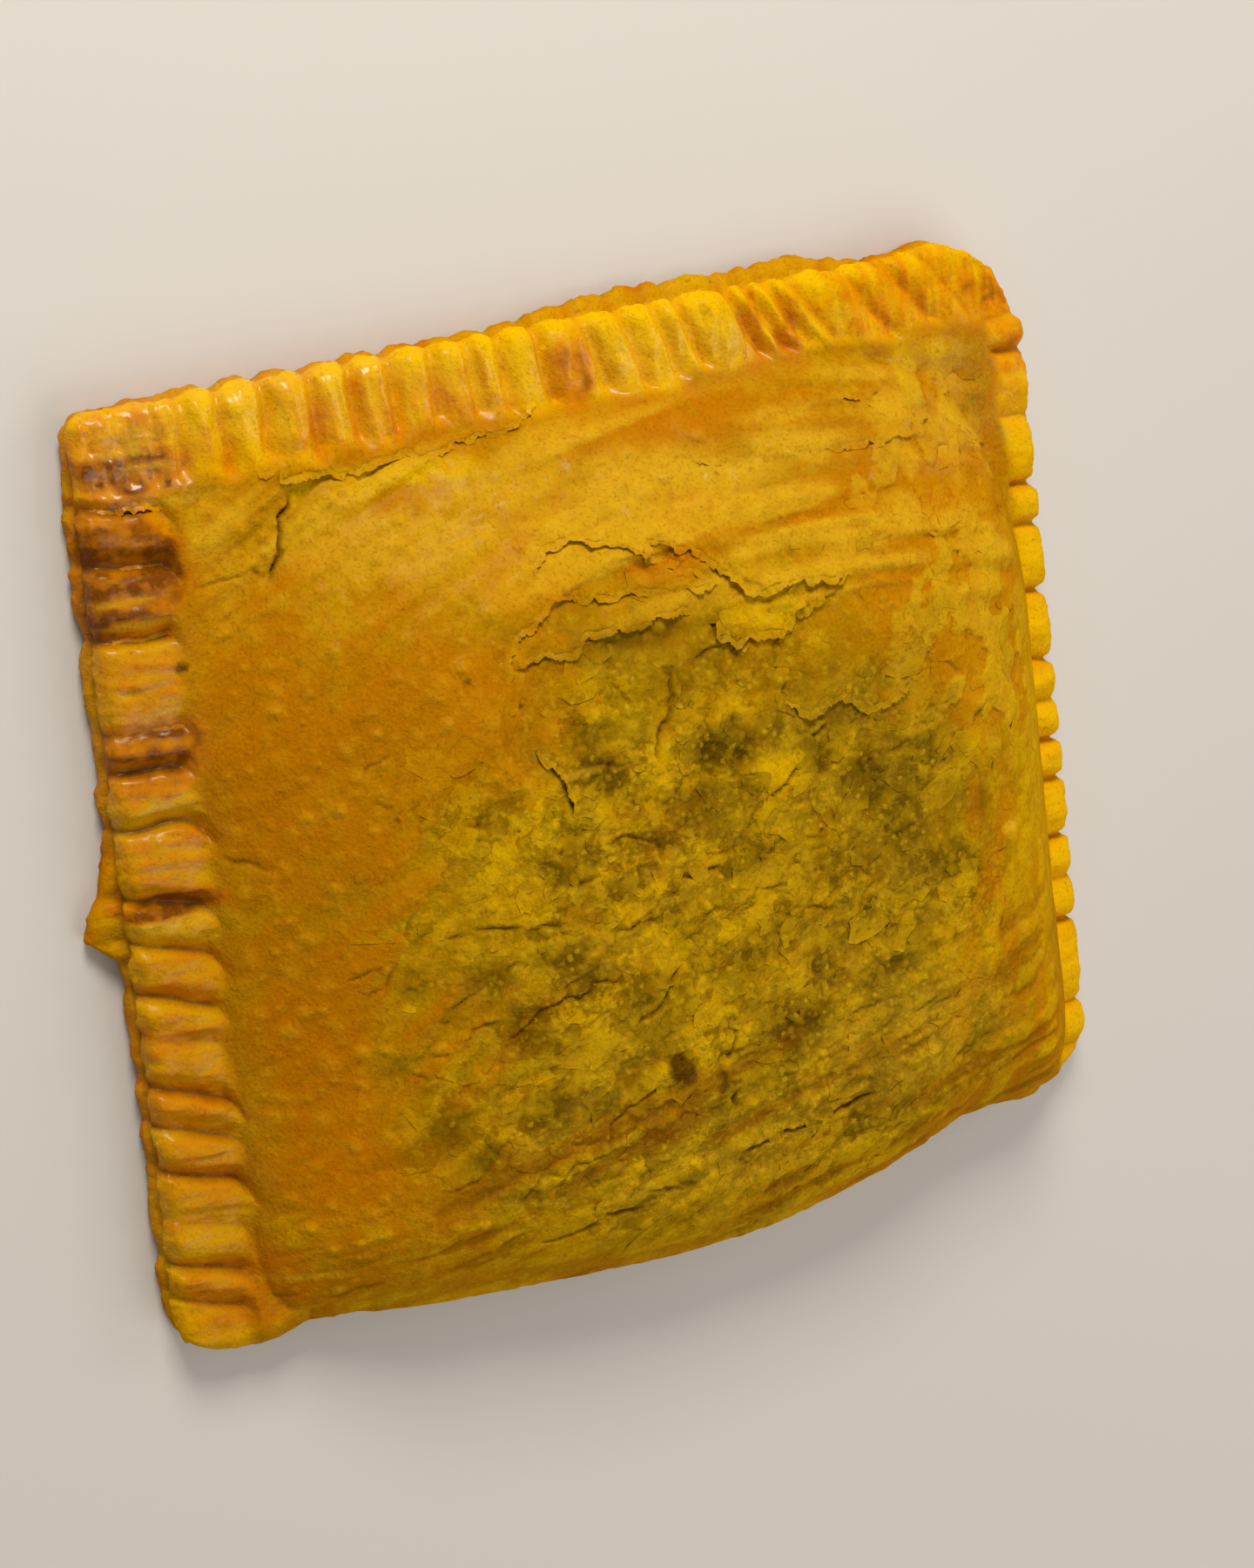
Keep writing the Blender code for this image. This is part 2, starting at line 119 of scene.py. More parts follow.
# Edges of broken layers: how far the layer left of each line stands up, how far in it settles, and the line
BROKEN_EDGES = (
    (0.75, 3.5, ((-15.0, 30.6), (-14.9, 32.5), (-13.5, 33.8), (-12.0, 34.3), (-10.0, 34.5), (-7.5, 33.8),
                 (-6.0, 33.3), (-4.0, 32.6), (-1.5, 31.6), (0.0, 32.9), (2.0, 32.0), (3.5, 31.4), (5.0, 31.2),
                 (6.0, 30.3), (7.5, 29.5), (8.7, 27.8), (9.3, 26.5), (10.5, 25.1), (12.0, 24.5), (15.0, 25.3),
                 (20.0, 25.0), (25.0, 25.2))),
    (0.55, 3.0, ((-21.0, 19.8), (-21.0, 22.0), (-20.0, 23.8), (-19.3, 24.8), (-17.3, 25.5), (-16.0, 26.3),
                 (-14.0, 27.9), (-11.5, 27.7), (-8.0, 27.5), (-5.5, 27.0), (-3.0, 27.5), (-0.5, 26.8),
                 (2.5, 26.6), (4.5, 26.3), (6.0, 26.5), (8.5, 27.1))),
    (0.65, 2.5, ((-21.0, 21.2), (-17.0, 22.0), (-13.5, 21.8), (-12.8, 21.5), (-11.0, 23.0), (-10.0, 23.8),
                 (-7.0, 23.8), (-5.5, 22.9), (-2.5, 23.5), (-1.0, 24.4), (3.0, 24.2), (4.5, 24.6))),
    (0.70, 3.5, ((6.5, 22.0), (6.6, 20.7), (8.5, 19.2), (11.0, 19.9), (15.5, 19.8), (16.0, 20.5),
                 (17.5, 23.0), (19.0, 24.0))),
    (0.35, 2.0, ((1.0, 30.0), (3.5, 29.0), (5.0, 28.8), (7.5, 27.3))),
    (0.45, 3.0, ((15.5, 21.0), (20.0, 22.0), (22.5, 24.0), (25.5, 25.0))),
    (0.60, 2.5, ((-40.5, 46.2), (-40.0, 45.0), (-37.0, 45.5), (-33.0, 44.8), (-30.0, 45.5), (-29.0, 45.7),
                 (-24.3, 46.3), (-23.5, 45.6), (-21.0, 46.3), (-16.5, 47.0), (-12.0, 47.0), (-10.5, 47.8),
                 (-7.5, 49.2))),
    (0.30, 2.0, ((-19.0, 11.3), (-17.7, 9.2), (-16.5, 8.0), (-16.3, 6.6), (-15.5, 3.6), (-13.7, 2.2))),
    (0.35, 3.0, ((14.0, 10.7), (17.0, 9.0), (22.0, 10.0), (26.0, 8.0), (30.0, 8.5), (32.5, 9.6))),
    (0.25, 2.0, ((30.0, 45.3), (35.0, 44.7), (40.0, 45.2))),
    (0.25, 3.0, ((8.0, 40.6), (18.0, 39.6), (30.0, 39.6), (36.0, 39.4), (42.0, 40.6), (47.0, 43.2),
                 (52.0, 44.3))),
)
BROKEN_SLOPE = 0.22
BROKEN_TAPER = 2.5
BROKEN_MARGIN = 5.0
# Hollow under each raised edge: depth and width; painted shadow in it: strength, gain, unevenness, size,
# least
UNDERCUT_DEPTH = 0.24
UNDERCUT_WIDTH = 0.36
UNDERCUT_SHADE = 0.38
UNDERCUT_GAIN = 1.6
UNDERCUT_UNEVEN = (0.55, 0.9)
UNDERCUT_UNEVEN_SIZE = 3.0
UNDERCUT_LEAST = 0.1

# Cracks through the skin, strongest first: half width, depth and lines
CRACKS = (
    (0.26, 0.8, (
        ((-16.0, -49.7), (-13.0, -50.3), (-11.0, -50.3)),
        ((3.0, -46.3), (8.0, -45.5), (14.5, -45.2)),
        ((16.0, -44.7), (20.0, -44.0), (23.5, -43.7)),
        ((2.2, -39.2), (1.8, -38.0), (2.4, -37.0)),
        ((-39.8, 43.3), (-40.0, 42.0), (-41.0, 41.0), (-41.5, 38.0), (-42.0, 36.5), (-43.3, 34.2)),
    )),
    (0.24, 0.48, (
        ((-24.3, -51.7), (-20.0, -51.4), (-16.5, -50.8)),
        ((-30.0, -50.2), (-27.0, -49.4)),
        ((-10.0, -47.5), (-5.5, -49.0)),
        ((-5.0, -48.0), (-3.0, -49.0)),
        ((0.0, -47.0), (4.0, -48.0)),
        ((-27.0, -23.0), (-24.0, -21.3), (-22.0, -19.8), (-18.5, -19.1), (-17.0, -19.6), (-15.3, -18.2),
         (-12.5, -18.3), (-11.8, -17.6)),
        ((-12.2, -1.3), (-9.0, -0.9), (-7.5, -1.5), (-5.5, -2.2), (-4.8, -4.8)),
        ((-4.0, -6.2), (-2.0, -7.9), (1.5, -7.9), (3.0, -7.6), (4.0, -10.0)),
        ((2.2, 17.7), (5.0, 18.8), (7.0, 19.8)),
        ((5.5, 22.5), (6.3, 21.5), (6.2, 20.3)),
        ((-0.8, 17.0), (-1.2, 15.5), (-0.9, 14.5), (-2.0, 12.0), (-3.4, 10.5), (-3.9, 8.7), (-3.7, 7.0)),
        ((0.0, -31.5), (1.5, -32.0), (3.0, -28.0)),
        ((-4.0, -17.5), (-5.3, -20.5), (-7.5, -24.0), (-11.0, -24.7)),
        ((-15.6, -39.5), (-15.0, -37.0), (-12.0, -34.8), (-7.5, -33.5)),
        ((10.0, -0.4), (13.5, 1.3), (16.2, 3.6), (17.0, 5.8), (20.0, 7.0)),
        ((-44.0, 34.5), (-45.0, 35.5)),
        ((-29.0, -8.4), (-26.5, -8.8), (-23.5, -9.3)),
        ((-22.5, -9.8), (-18.0, -9.8)),
    )),
    (0.20, 0.34, (
        ((-8.8, 18.0), (-7.2, 16.0), (-6.0, 14.3)),
        ((-19.0, 11.3), (-17.7, 9.2), (-16.5, 8.0)),
        ((-16.5, 5.5), (-15.5, 3.6), (-13.7, 2.2)),
        ((-13.2, 0.7), (-12.5, -0.2)),
        ((-14.0, -1.8), (-12.0, -2.8)),
        ((14.7, 18.3), (14.6, 15.5)),
        ((14.8, 14.0), (13.8, 12.5), (14.0, 10.7)),
        ((8.0, 11.8), (10.0, 11.5)),
        ((22.3, 3.5), (24.0, 7.3)),
        ((27.0, 7.0), (30.0, 8.5), (32.5, 9.6)),
        ((-3.5, -8.7), (-4.0, -10.0)),
        ((-12.0, -12.4), (-6.0, -12.0)),
        ((-17.0, -12.3), (-15.0, -12.2)),
        ((-32.5, -8.4), (-30.0, -9.3)),
        ((-43.5, -13.0), (-40.0, -11.7)),
        ((-42.0, -14.9), (-39.5, -14.3)),
        ((-37.5, -14.8), (-36.3, -14.9)),
        ((-32.0, -22.2), (-29.5, -20.5), (-27.5, -20.3)),
        ((-36.0, -23.4), (-33.0, -23.3)),
        ((-33.0, -18.0), (-28.7, -16.0)),
        ((4.5, -14.1), (8.0, -12.9)),
        ((8.0, -11.8), (14.0, -12.0)),
        ((11.0, -16.0), (14.0, -15.5), (19.0, -16.8)),
        ((19.0, -31.2), (25.0, -31.0)),
        ((-23.5, -43.5), (-20.0, -40.7), (-15.5, -40.5)),
        ((-28.0, -37.7), (-16.0, -38.5)),
        ((-36.5, -40.8), (-32.0, -39.3)),
        ((-41.5, -32.0), (-40.0, -31.8)),
        ((-52.0, 34.8), (-46.0, 35.5)),
        ((-54.0, 3.0), (-51.5, 2.6), (-49.5, 1.5)),
    )),
)

# How far the lines of cracks and edges wander, with lumps of what size, and in how many rounds this is undone
CRACK_WANDER = 0.45
CRACK_WANDER_SIZE = 1.6
UNWANDER_ROUNDS = 4

# How dark a crack is at least and for each millimetre of depth, where it ends, and how it thins out there
CRACK_DARK = (0.32, 0.95)
CRACK_MARGIN = 6.0
CRACK_ENDS = (0.35, 0.65)
CRACK_TAPER = 1.2

# Small cracks: how many, half width and depth, where, spread of angles, lengths, points, steps aside
SMALL_CRACKS = 110
SMALL_CRACK_SIZE = (0.19, 0.26)
SMALL_CRACK_AREA = ((-40.0, -48.0), (44.0, 12.0))
SMALL_CRACK_TURN = 24.0
SMALL_CRACK_LENGTH = (1.2, 5.0)
SMALL_CRACK_POINTS = 4
SMALL_CRACK_ASIDE = 0.35

# How far in from the crimped sides the skin of the body starts, and where it is full
BODY_ZONE = (9.0, 13.0)

# The flaky skin: its middle, reach and ragged edge, and its blisters as grid size, share, height and seed
FLAKY_MIDDLE = (5.0, -18.0)
FLAKY_REACH = (47.0, 46.0)
FLAKY_EDGE = (1.20, 0.58)
FLAKY_RAGGED = 0.24
FLAKY_RAGGED_SIZE = 9.0
BLISTERS = ((2.6, 0.25, 0.24, 61), (1.6, 0.36, 0.20, 62), (1.0, 0.40, 0.13, 68))
BUBBLE_MIDDLE = (0.15, 0.85)
BUBBLE_RADIUS = (0.22, 0.52)
NO_BUBBLE = 0.01

# Its broken plates, and for each layer of them its size, strength, steps, softness of the steps, seed, detail
PLATE_HEIGHT = 0.55
PLATE_ANGLE = 14.0
PLATE_LONG = 8.0
PLATE_SHORT = 4.2
PLATE_LAYERS = ((1.0, 0.65, 3.0, 0.10, 60, 3), (0.5, 0.35, 2.0, 0.14, 67, 2))

# How much of the plates, the blisters and the fine grain shows on all of the body, and how much is added on
# the flaky skin
PLATE_SHARES = (0.10, 0.90)
BLISTER_SHARES = (0.12, 0.88)
GRAIN_SHARES = (0.6, 0.4)
GRAIN_HEIGHT = 0.10
GRAIN_SIZE = 1.4

# Islands of the outermost layer left at the upper right: middle, reach, edge, size, height and colours
ISLAND_MIDDLE = (46.0, 24.0)
ISLAND_REACH = (20.0, 27.0)
ISLAND_EDGE = (1.15, 0.75)
ISLAND_RAGGED = 0.2
ISLAND_RAGGED_SIZE = 6.0
ISLAND_ANGLE = 62.0
ISLAND_LONG = 5.0
ISLAND_SHORT = 3.4
ISLAND_STEP = (-0.03, 0.07)
ISLAND_HEIGHT = 0.30
ISLAND_PALE = 0.42
ISLAND_TOAST = 0.30

# Scales of broken skin: how many are tried, their form, the darkest crack and painted shadow under an edge
# they may lie on, and their tones
SCALES = 2100
SCALE_SIDES = 11
SCALE_RADIUS = (0.5, 2.4)
SCALE_LONG = 1.6
SCALE_TURN = 35.0
SCALE_UNEVEN = 0.3
SCALE_RAGGED = (0.62, 1.25)
SCALE_INNER = 0.6
SCALE_RAISED = (0.01, 0.08)
SCALE_CURL = 0.15
SCALE_INNER_CURL = 0.35
SCALE_THICK = 0.12
SCALE_ON_ISLANDS = 0.5
SCALE_CLEAR = 0.25
SCALE_TONES = {"fresh": (0.60, 0.90), "stale": (0.35, 0.05)}
SCALE_LIMITS = {"dark": (0.0, 0.9)}

# Wrinkles of the smoother skin: where each kind starts and is full, and its angle, length and width
BAND_ZONE = (18.0, 31.0)
BAND_TILT = 0.16
BAND_BEND = 0.004
BAND_MIDDLE = 10.0
BAND_STREAK = (7.0, 22.0, 2.3)
SLANT_ZONE_X = (-18.0, -36.0)
SLANT_ZONE_Y = (-52.0, -30.0)
SLANT_STREAK = (38.0, 10.0, 2.4)
FOLD_ZONE = (-22.0, -38.0)
FOLD_TILT = 0.10
FOLD_STREAK = (12.0, 14.0, 2.0)
# How dark the painted shade in the valleys of the fold lines is, and the values between which it sets in
FOLD_SHADE = 0.45
FOLD_SHADE_EDGE = (-0.30, -0.55)
RIGHT_ZONE = (30.0, 44.0)
RIGHT_STREAK = (78.0, 9.0, 3.0)

# Soft lumps of the smoother skin: grid size, share, height and seed, how pointed they are and how pale their
# tops are as painted highlight, and how much lower on the flaky skin
LUMPS = ((3.4, 0.50, 0.34, 72), (2.1, 0.50, 0.22, 73))
LUMP_POWER = 4
LUMP_HIGHLIGHT = 0.28
LUMP_LOWER = 0.8

# Fine layers along the crimps of each side: height, angle, length and width, and a finer roughness
STREAK_HEIGHT = {"right": 0.18, "top": 0.44, "left": 0.34}
STREAK_ANGLE = {"right": 0.0, "top": 96.0, "left": -6.0}
STREAK_SIZE = (7.0, 1.15)
CRIMP_ROUGH = 0.20
CRIMP_ROUGH_SIZE = 1.5

# How the left crimps bend at their inner ends, how far the ends are pressed in, and how dark the painted
# shade along the deepest line of each groove is
CRIMP_BEND = {"right": 0.0, "top": 0.0, "left": 0.35}
BEND_START = 7.8
BEND_MOST = 2.5
CRIMP_PRESS = {"right": 0.0, "top": 0.25, "left": 0.55}
PRESS_WIDTH = 1.1
PRESS_UNEVEN = (0.6, 0.4)
PRESS_UNEVEN_SIZE = 5.0
PRESS_ENDS = (60.0, 40.0)
CREASE_WIDTH = 0.42
CREASE_GAIN = 0.55
CREASE_SHADE = {"right": 0.30, "top": 0.12, "left": 0.85}

# Thin flakes that curl up along the broken edges: spacing, thickness, hold, reach, curl and how uneven they
# are. Each row of points has its share of the reach, its level (0 base, 1 edge, 2 tip) and its depth.
FLAKE_STEP = 0.3
FLAKE_THICK = 0.16
FLAKE_TIP_THICK = (0.3, 0.7)
FLAKE_HOLD = 0.9
FLAKE_BURIED = 0.12
FLAKE_CLEAR = 0.05
FLAKE_EDGE = 0.35
FLAKE_TAPER = 1.5
FLAKE_REACH = (0.05, 0.85)
FLAKE_CURL = (0.0, 0.40)
FLAKE_UNEVEN = (0.5, 0.9)
FLAKE_REACH_SIZE = 1.3
FLAKE_CURL_SIZE = 3.1
FLAKE_JITTER = 0.16
FLAKE_ROWS = ((0.0, 0, 0.0), (0.55, 1, 0.0), (1.0, 2, 0.0), (1.0, 2, 1.0), (0.55, 1, 1.0), (0.0, 0, 1.0))
FLAKE_LIMITS = {"dark": (0.0, 0.0), "pale": (0.18, 0.6), "olive": (0.0, 0.7)}
SHARP_ANGLE = 40.0
LOOSE_EDGES = (
    ((-62.0, 44.6), (-60.0, 43.6), (-57.5, 44.3), (-55.0, 43.8), (-52.5, 44.6), (-50.8, 45.6)),
    ((-61.5, 36.8), (-58.0, 37.6), (-54.5, 37.2)),
    ((-61.8, 29.4), (-58.0, 29.0), (-54.5, 29.6)),
    ((-62.5, 18.4), (-59.0, 18.9), (-55.5, 18.6)),
    ((-1.8, 31.2), (-0.4, 30.2), (1.9, 30.2)),
    ((-43.4, 46.6), (-42.2, 45.6), (-40.6, 46.0)),
)

# Where the crust is browned, olive, pale, lemon, grey or glossy: middle, reach across and up, strength
PAINT = {
    "toast": (
        (-60.0, 38.0, 7.5, 7.5, 1.12), (-57.5, 49.5, 6.0, 4.5, 0.82), (-60.0, 16.5, 6.5, 4.5, 0.95),
        (-60.5, -1.2, 6.0, 1.4, 1.0), (-60.0, 24.5, 6.0, 4.0, 0.45), (-60.5, 4.0, 6.0, 4.0, 0.40),
        (-61.0, -10.0, 6.5, 3.0, 0.35), (-62.0, -22.0, 6.5, 10.0, 0.28), (-62.0, -36.0, 6.5, 6.0, 0.25),
        (-2.2, 51.5, 2.4, 5.0, 0.72), (23.0, 53.5, 1.8, 5.0, 0.48), (28.0, 53.5, 2.0, 4.5, 0.42),
        (44.0, 56.0, 12.0, 5.0, 0.38), (57.0, 54.0, 6.0, 5.0, 0.40), (8.0, 45.5, 16.0, 3.0, 0.42),
        (-27.0, 50.0, 14.0, 5.0, 0.35), (-48.0, -28.0, 6.5, 22.0, 0.48), (-48.0, 14.0, 7.0, 20.0, 0.36),
        (-32.0, 16.0, 16.0, 9.0, 0.30), (-16.0, 31.0, 7.0, 3.5, 0.38), (24.0, 33.5, 9.0, 3.0, 0.42),
        (41.0, 30.0, 6.0, 4.0, 0.42), (50.0, 36.0, 7.0, 3.0, 0.40), (9.0, 34.0, 9.0, 3.0, 0.32),
        (62.0, 46.0, 4.0, 6.0, 0.35), (-46.0, 46.0, 5.0, 6.0, 0.22), (2.0, 29.8, 6.0, 2.0, 0.50),
        (-58.0, -50.0, 8.0, 6.0, 0.55),
    ),
    "olive": (
        (-12.0, 12.0, 3.6, 1.8, 0.75), (-12.0, 7.2, 3.6, 2.8, 0.85), (5.0, 7.3, 5.6, 2.8, 0.95),
        (2.5, 2.0, 3.2, 1.6, 0.75), (18.5, 3.0, 2.6, 1.8, 0.80), (24.0, -0.6, 4.6, 4.2, 0.80),
        (29.0, -7.0, 3.8, 2.8, 0.75), (12.0, -6.5, 2.6, 1.2, 0.70), (15.5, -23.0, 2.2, 1.8, 0.75),
        (24.0, -17.5, 2.2, 1.8, 0.70), (18.0, -10.5, 2.6, 1.4, 0.70), (41.5, -7.5, 2.4, 2.4, 0.60),
        (-34.5, -32.5, 2.6, 3.0, 0.80), (-31.0, -37.0, 3.0, 1.8, 0.80), (-22.0, -32.5, 3.0, 2.2, 0.75),
        (-12.5, -30.5, 2.0, 1.8, 0.60), (-8.5, -41.0, 4.6, 1.8, 0.70), (-19.5, -13.8, 3.4, 1.8, 0.75),
        # The olive spots at (-4.0, 22.3) and (-2.0, 17.0) are painted shade below the broken edges above the
        # patch
        (-5.2, -32.3, 1.9, 2.6, 1.00), (12.0, -30.5, 4.6, 4.2, 0.95), (-4.0, 22.3, 8.0, 1.3, 0.70),
        (-6.5, -20.0, 3.0, 2.2, 0.45), (8.0, -19.0, 4.0, 3.0, 0.40), (-28.0, -14.0, 3.0, 1.6, 0.45),
        (30.0, -14.0, 6.0, 4.0, 0.40), (6.0, -36.0, 4.0, 2.4, 0.45), (38.0, 2.0, 3.0, 4.0, 0.40),
        (-17.0, -45.0, 4.0, 1.8, 0.40), (19.0, 13.0, 6.0, 2.2, 0.45), (-2.0, 17.0, 13.0, 6.0, 0.28),
        (27.0, 8.0, 10.0, 7.0, 0.25), (22.0, -9.0, 12.0, 9.0, 0.28),
    ),
    "grey": (
        (17.0, 7.5, 8.5, 3.0, 0.75), (-6.5, 12.0, 2.6, 2.0, 0.55), (12.0, -3.0, 3.0, 1.6, 0.60),
        (27.0, -37.0, 13.0, 11.0, 0.50), (30.0, -2.0, 12.0, 12.0, 0.38), (24.0, -22.0, 12.0, 8.0, 0.35),
        (-18.0, -31.0, 12.0, 7.0, 0.30), (4.0, -40.0, 12.0, 6.0, 0.30), (-20.0, -14.0, 10.0, 5.0, 0.25),
        # This grey spot is painted shade below the broken edges above the patch
        (-2.0, 21.0, 10.0, 4.0, 0.30),
    ),
    "pale": (
        (-30.0, 36.5, 13.0, 3.4, 0.60), (-15.0, 41.0, 12.0, 2.6, 0.55), (2.0, 39.5, 12.0, 3.4, 0.62),
        (14.0, 38.6, 8.0, 2.2, 0.75), (24.0, 40.5, 7.0, 2.0, 0.65), (23.0, 44.2, 5.0, 1.0, 0.55),
        (-8.0, 36.5, 9.0, 1.8, 0.45), (35.5, 31.5, 3.0, 1.8, 0.60), (39.0, 36.5, 1.8, 2.0, 0.60),
        (48.0, 38.5, 6.0, 3.6, 0.50), (39.0, 43.0, 4.2, 2.2, 0.60), (48.0, -13.3, 1.8, 0.9, 0.90),
        # Pale strokes at (-56.0, 52.3), (-57.5, 50.6), (-54.5, 48.8) on the corner tile and (0.2, 30.4) on a
        # flake tip are painted highlights
        (49.0, 2.8, 1.2, 1.0, 0.80), (38.5, -24.0, 1.4, 1.0, 0.75), (-56.0, 52.3, 5.0, 1.6, 0.60),
        (19.5, 53.0, 2.6, 1.8, 0.70), (36.0, 55.0, 1.8, 1.2, 0.60), (-60.0, -3.4, 5.0, 0.8, 0.55),
        (-49.0, 38.0, 3.0, 8.0, 0.35), (-22.0, 32.5, 10.0, 2.0, 0.40), (0.2, 30.4, 1.8, 0.5, 0.80),
        (-52.5, -49.8, 5.0, 0.5, 0.60), (-14.0, 7.8, 2.4, 0.5, 0.50), (-57.5, 50.6, 4.6, 0.6, 0.60),
        (-54.5, 48.8, 3.0, 0.5, 0.50), (28.0, -38.0, 13.0, 8.0, 0.30), (-2.0, -48.0, 16.0, 4.0, 0.25),
        (-52.0, 44.6, 5.0, 0.5, 0.60), (-60.0, 34.4, 4.0, 0.4, 0.50), (-59.0, 31.6, 4.6, 0.5, 0.60),
    ),
    "lemon": (
        (-28.0, 44.0, 11.0, 1.5, 0.95), (13.5, 22.3, 5.5, 2.6, 0.80), (-14.5, 2.5, 3.2, 3.2, 0.60),
        (-3.0, 6.0, 6.0, 3.6, 0.50), (13.0, 3.5, 3.6, 3.0, 0.55), (7.5, -2.0, 3.0, 1.6, 0.50),
        (-6.0, -51.0, 30.0, 6.0, 0.50), (36.0, 58.5, 26.0, 2.8, 0.25), (10.0, 58.5, 14.0, 2.0, 0.25),
        (46.0, 18.0, 8.0, 16.0, 0.45), (54.0, -8.0, 7.0, 26.0, 0.62), (-8.0, 15.5, 12.0, 4.0, 0.35),
        (0.0, -12.0, 12.0, 6.0, 0.35), (-24.0, -4.0, 12.0, 8.0, 0.30), (-10.0, -26.0, 14.0, 5.0, 0.35),
    ),
    "gloss": (
        (-56.5, 50.0, 6.5, 5.5, 1.00), (-30.0, 53.0, 26.0, 4.0, 0.75), (10.0, 53.0, 22.0, 4.0, 0.55),
        (-60.0, 20.0, 6.0, 26.0, 0.40), (-62.0, -28.0, 6.0, 26.0, 0.25), (10.0, 40.0, 30.0, 5.0, 0.14),
        (50.0, 45.0, 14.0, 10.0, 0.16),
    ),
}
PAINT_RAGGED = 0.38
PAINT_RAGGED_SIZE = 3.2
PAINT_MARGIN = 1.8
PAINT_EDGE = (1.45, 0.55)

# The share of each crimped side in the honey colour, and in what all of them do alike
HONEY_SHARE = {"right": 1.0, "top": 1.0, "left": 0.45}
FULL_SHARE = {"right": 1.0, "top": 1.0, "left": 1.0}

# Colours that follow the form: heights in which the front and the wall show, browning of the crimps' layers,
# broad patches, and the filling that shines through the flaky skin
FRONT_START = (1.0, 5.0)
WALL_TOP = (6.6, 5.2)
WALL_FOOT = (0.3, 1.2)
WALL_LEMON = 0.55
# The groove depth at which the painted shade in the grooves is full; it darkens the crust as browning does
GROOVE_SHADE_FULL = 2.0
LAYER_ROUGH = 0.6
LAYER_ROUGH_SIZE = 1.6
LAYER_TOAST = (0.3, 0.20)
TOAST_MOST = 1.3
BROAD_EDGE = (-0.35, 0.35)
BROAD_SIZE = 7.0
SHINING_EDGE = (0.10, 0.45)
SHINING_SIZES = (8.0, 2.0)
SHINING_FINE = 0.3
SHINING_OLIVE = 0.55

# Browning of the underside: how toasted it is at least, in broad spots and in fine ones, and how pale
BACK_TOAST = (0.42, 0.30, 0.12)
BACK_TOAST_SIZES = (9.0, 2.0)
BACK_PALE = 0.35
BACK_PALE_SIZE = 5.0

# Dark specks of burnt flour on the skin: middle and radius
SPECKS = (
    (-25.5, 21.3, 0.35), (-20.5, 17.0, 0.30), (-14.3, 14.1, 0.25), (-16.7, 8.2, 0.25), (-22.5, 2.5, 0.30),
    (-21.5, 2.3, 0.25), (-18.0, -1.0, 0.25), (14.2, 18.3, 0.30), (-38.5, 18.0, 0.35), (-36.0, 5.8, 0.30),
    (-27.0, 4.0, 0.25), (-26.0, 11.5, 0.25), (-53.0, 46.7, 0.45), (-55.0, 26.0, 0.50), (-60.5, 47.3, 0.40),
    (-5.4, -31.4, 1.5), (-4.9, -33.0, 1.7), (0.4, -34.6, 0.7), (0.3, -35.9, 0.8), (-0.2, -37.0, 0.6),
)
SPECK_EDGE = (1.3, 0.7)

# The lower sheet, which shows below the seam of the crimped sides, and its torn flap on the left
SHEET_OUT = {"right": 0.2, "top": 0.2, "left": 0.5}
TOP_LEDGE = 1.7
TOP_LEDGE_START = (-14.0, 4.0)
TOP_LEDGE_END = (46.0, 30.0)
FLAP_TOP, FLAP_TIP, FLAP_END = 5.0, -5.0, -8.0
FLAP_REACH = 4.0
SHEET_RAGGED_SIZE = 3.0
SHEET_RAGGED_REACH = 0.25

# The wall: rows from the upper edge down as step out and share of the height, the seam's row, how many rows
# come for each, how flaky the wall is, and the roll that takes its place along the fold
CRIMPED_WALL = (
    (0.0, 1.0), (0.5, 0.9), (0.6, 0.74), (0.2, 0.62), (-0.5, 0.54), (0.1, 0.46), (0.6, 0.34), (0.6, 0.16),
    (0.1, 0.04), (-0.7, 0.0),
)
SEAM_ROW = 4
SEAM_START = 0.2
WALL_SPLIT = 2
WALL_FLAKY = 0.35
WALL_FLAKY_SIZE = 1.8
WALL_FLAKY_STEP = 1.7
WALL_SMOOTH_FOLD = 0.6
ROLL_START = 42.0
ROLL_REACH = 9.5
SOFT_CORNER = 9.0

# The mesh: spacing of the first grid, how coarse the back is, triangles that are kept, and what lies flat
GRID = 0.26
BASE_STRIDE = 8
TRIANGLES = 196000
FLAT_BELOW = 0.05

# Random numbers: each noise adds its own number to SEED, and repeats after a number of cells. The layers of
# rough noise are divided by ROUGH_SUM.
SEED = 11
FORM_CELLS = 64
FINE_CELLS = 512
ROUGH_SUM = 1.5

# The camera: how far it leans left of and above the face's own direction, its roll, its distance and its aim
CAMERA_LEFT = 25.3
CAMERA_ABOVE = 15.0
CAMERA_ROLL = -6.1
CAMERA_DISTANCE = 274.7
CAMERA_AIM = (-1.3, 0.9, 7.5)
CAMERA_LENS = 50.0
CAMERA_CLIP = 0.01

# The stage: the floor's half width in millimetres, the lights' places and sizes in metres, power and colour
FLOOR_HALF = 1500.0
FLOOR_COLOUR = (0.66, 0.62, 0.57, 1.0)
FLOOR_ROUGHNESS = 0.8
LIGHTS = (
    ("key", (-0.08, 0.54, 0.36), 0.22, 3.6, (1.0, 0.96, 0.90)),
    ("fill", (0.40, -0.55, 0.65), 0.8, 3.5, (1.0, 0.97, 0.93)),
    ("side", (0.80, 0.15, 0.45), 0.5, 1.4, (1.0, 0.97, 0.93)),
)
SKY_COLOUR = (1.0, 0.97, 0.93, 1.0)
SKY_STRENGTH = 0.25


def ramp(low, high, value):
    """A smooth step from 0 at low to 1 at high."""
    share = np.clip((value - low) / (high - low), 0.0, 1.0)
    return share * share * (3.0 - 2.0 * share)


def between(limits, share):
    """The value at a share of the way between two limits."""
    return limits[0] + (limits[1] - limits[0]) * share


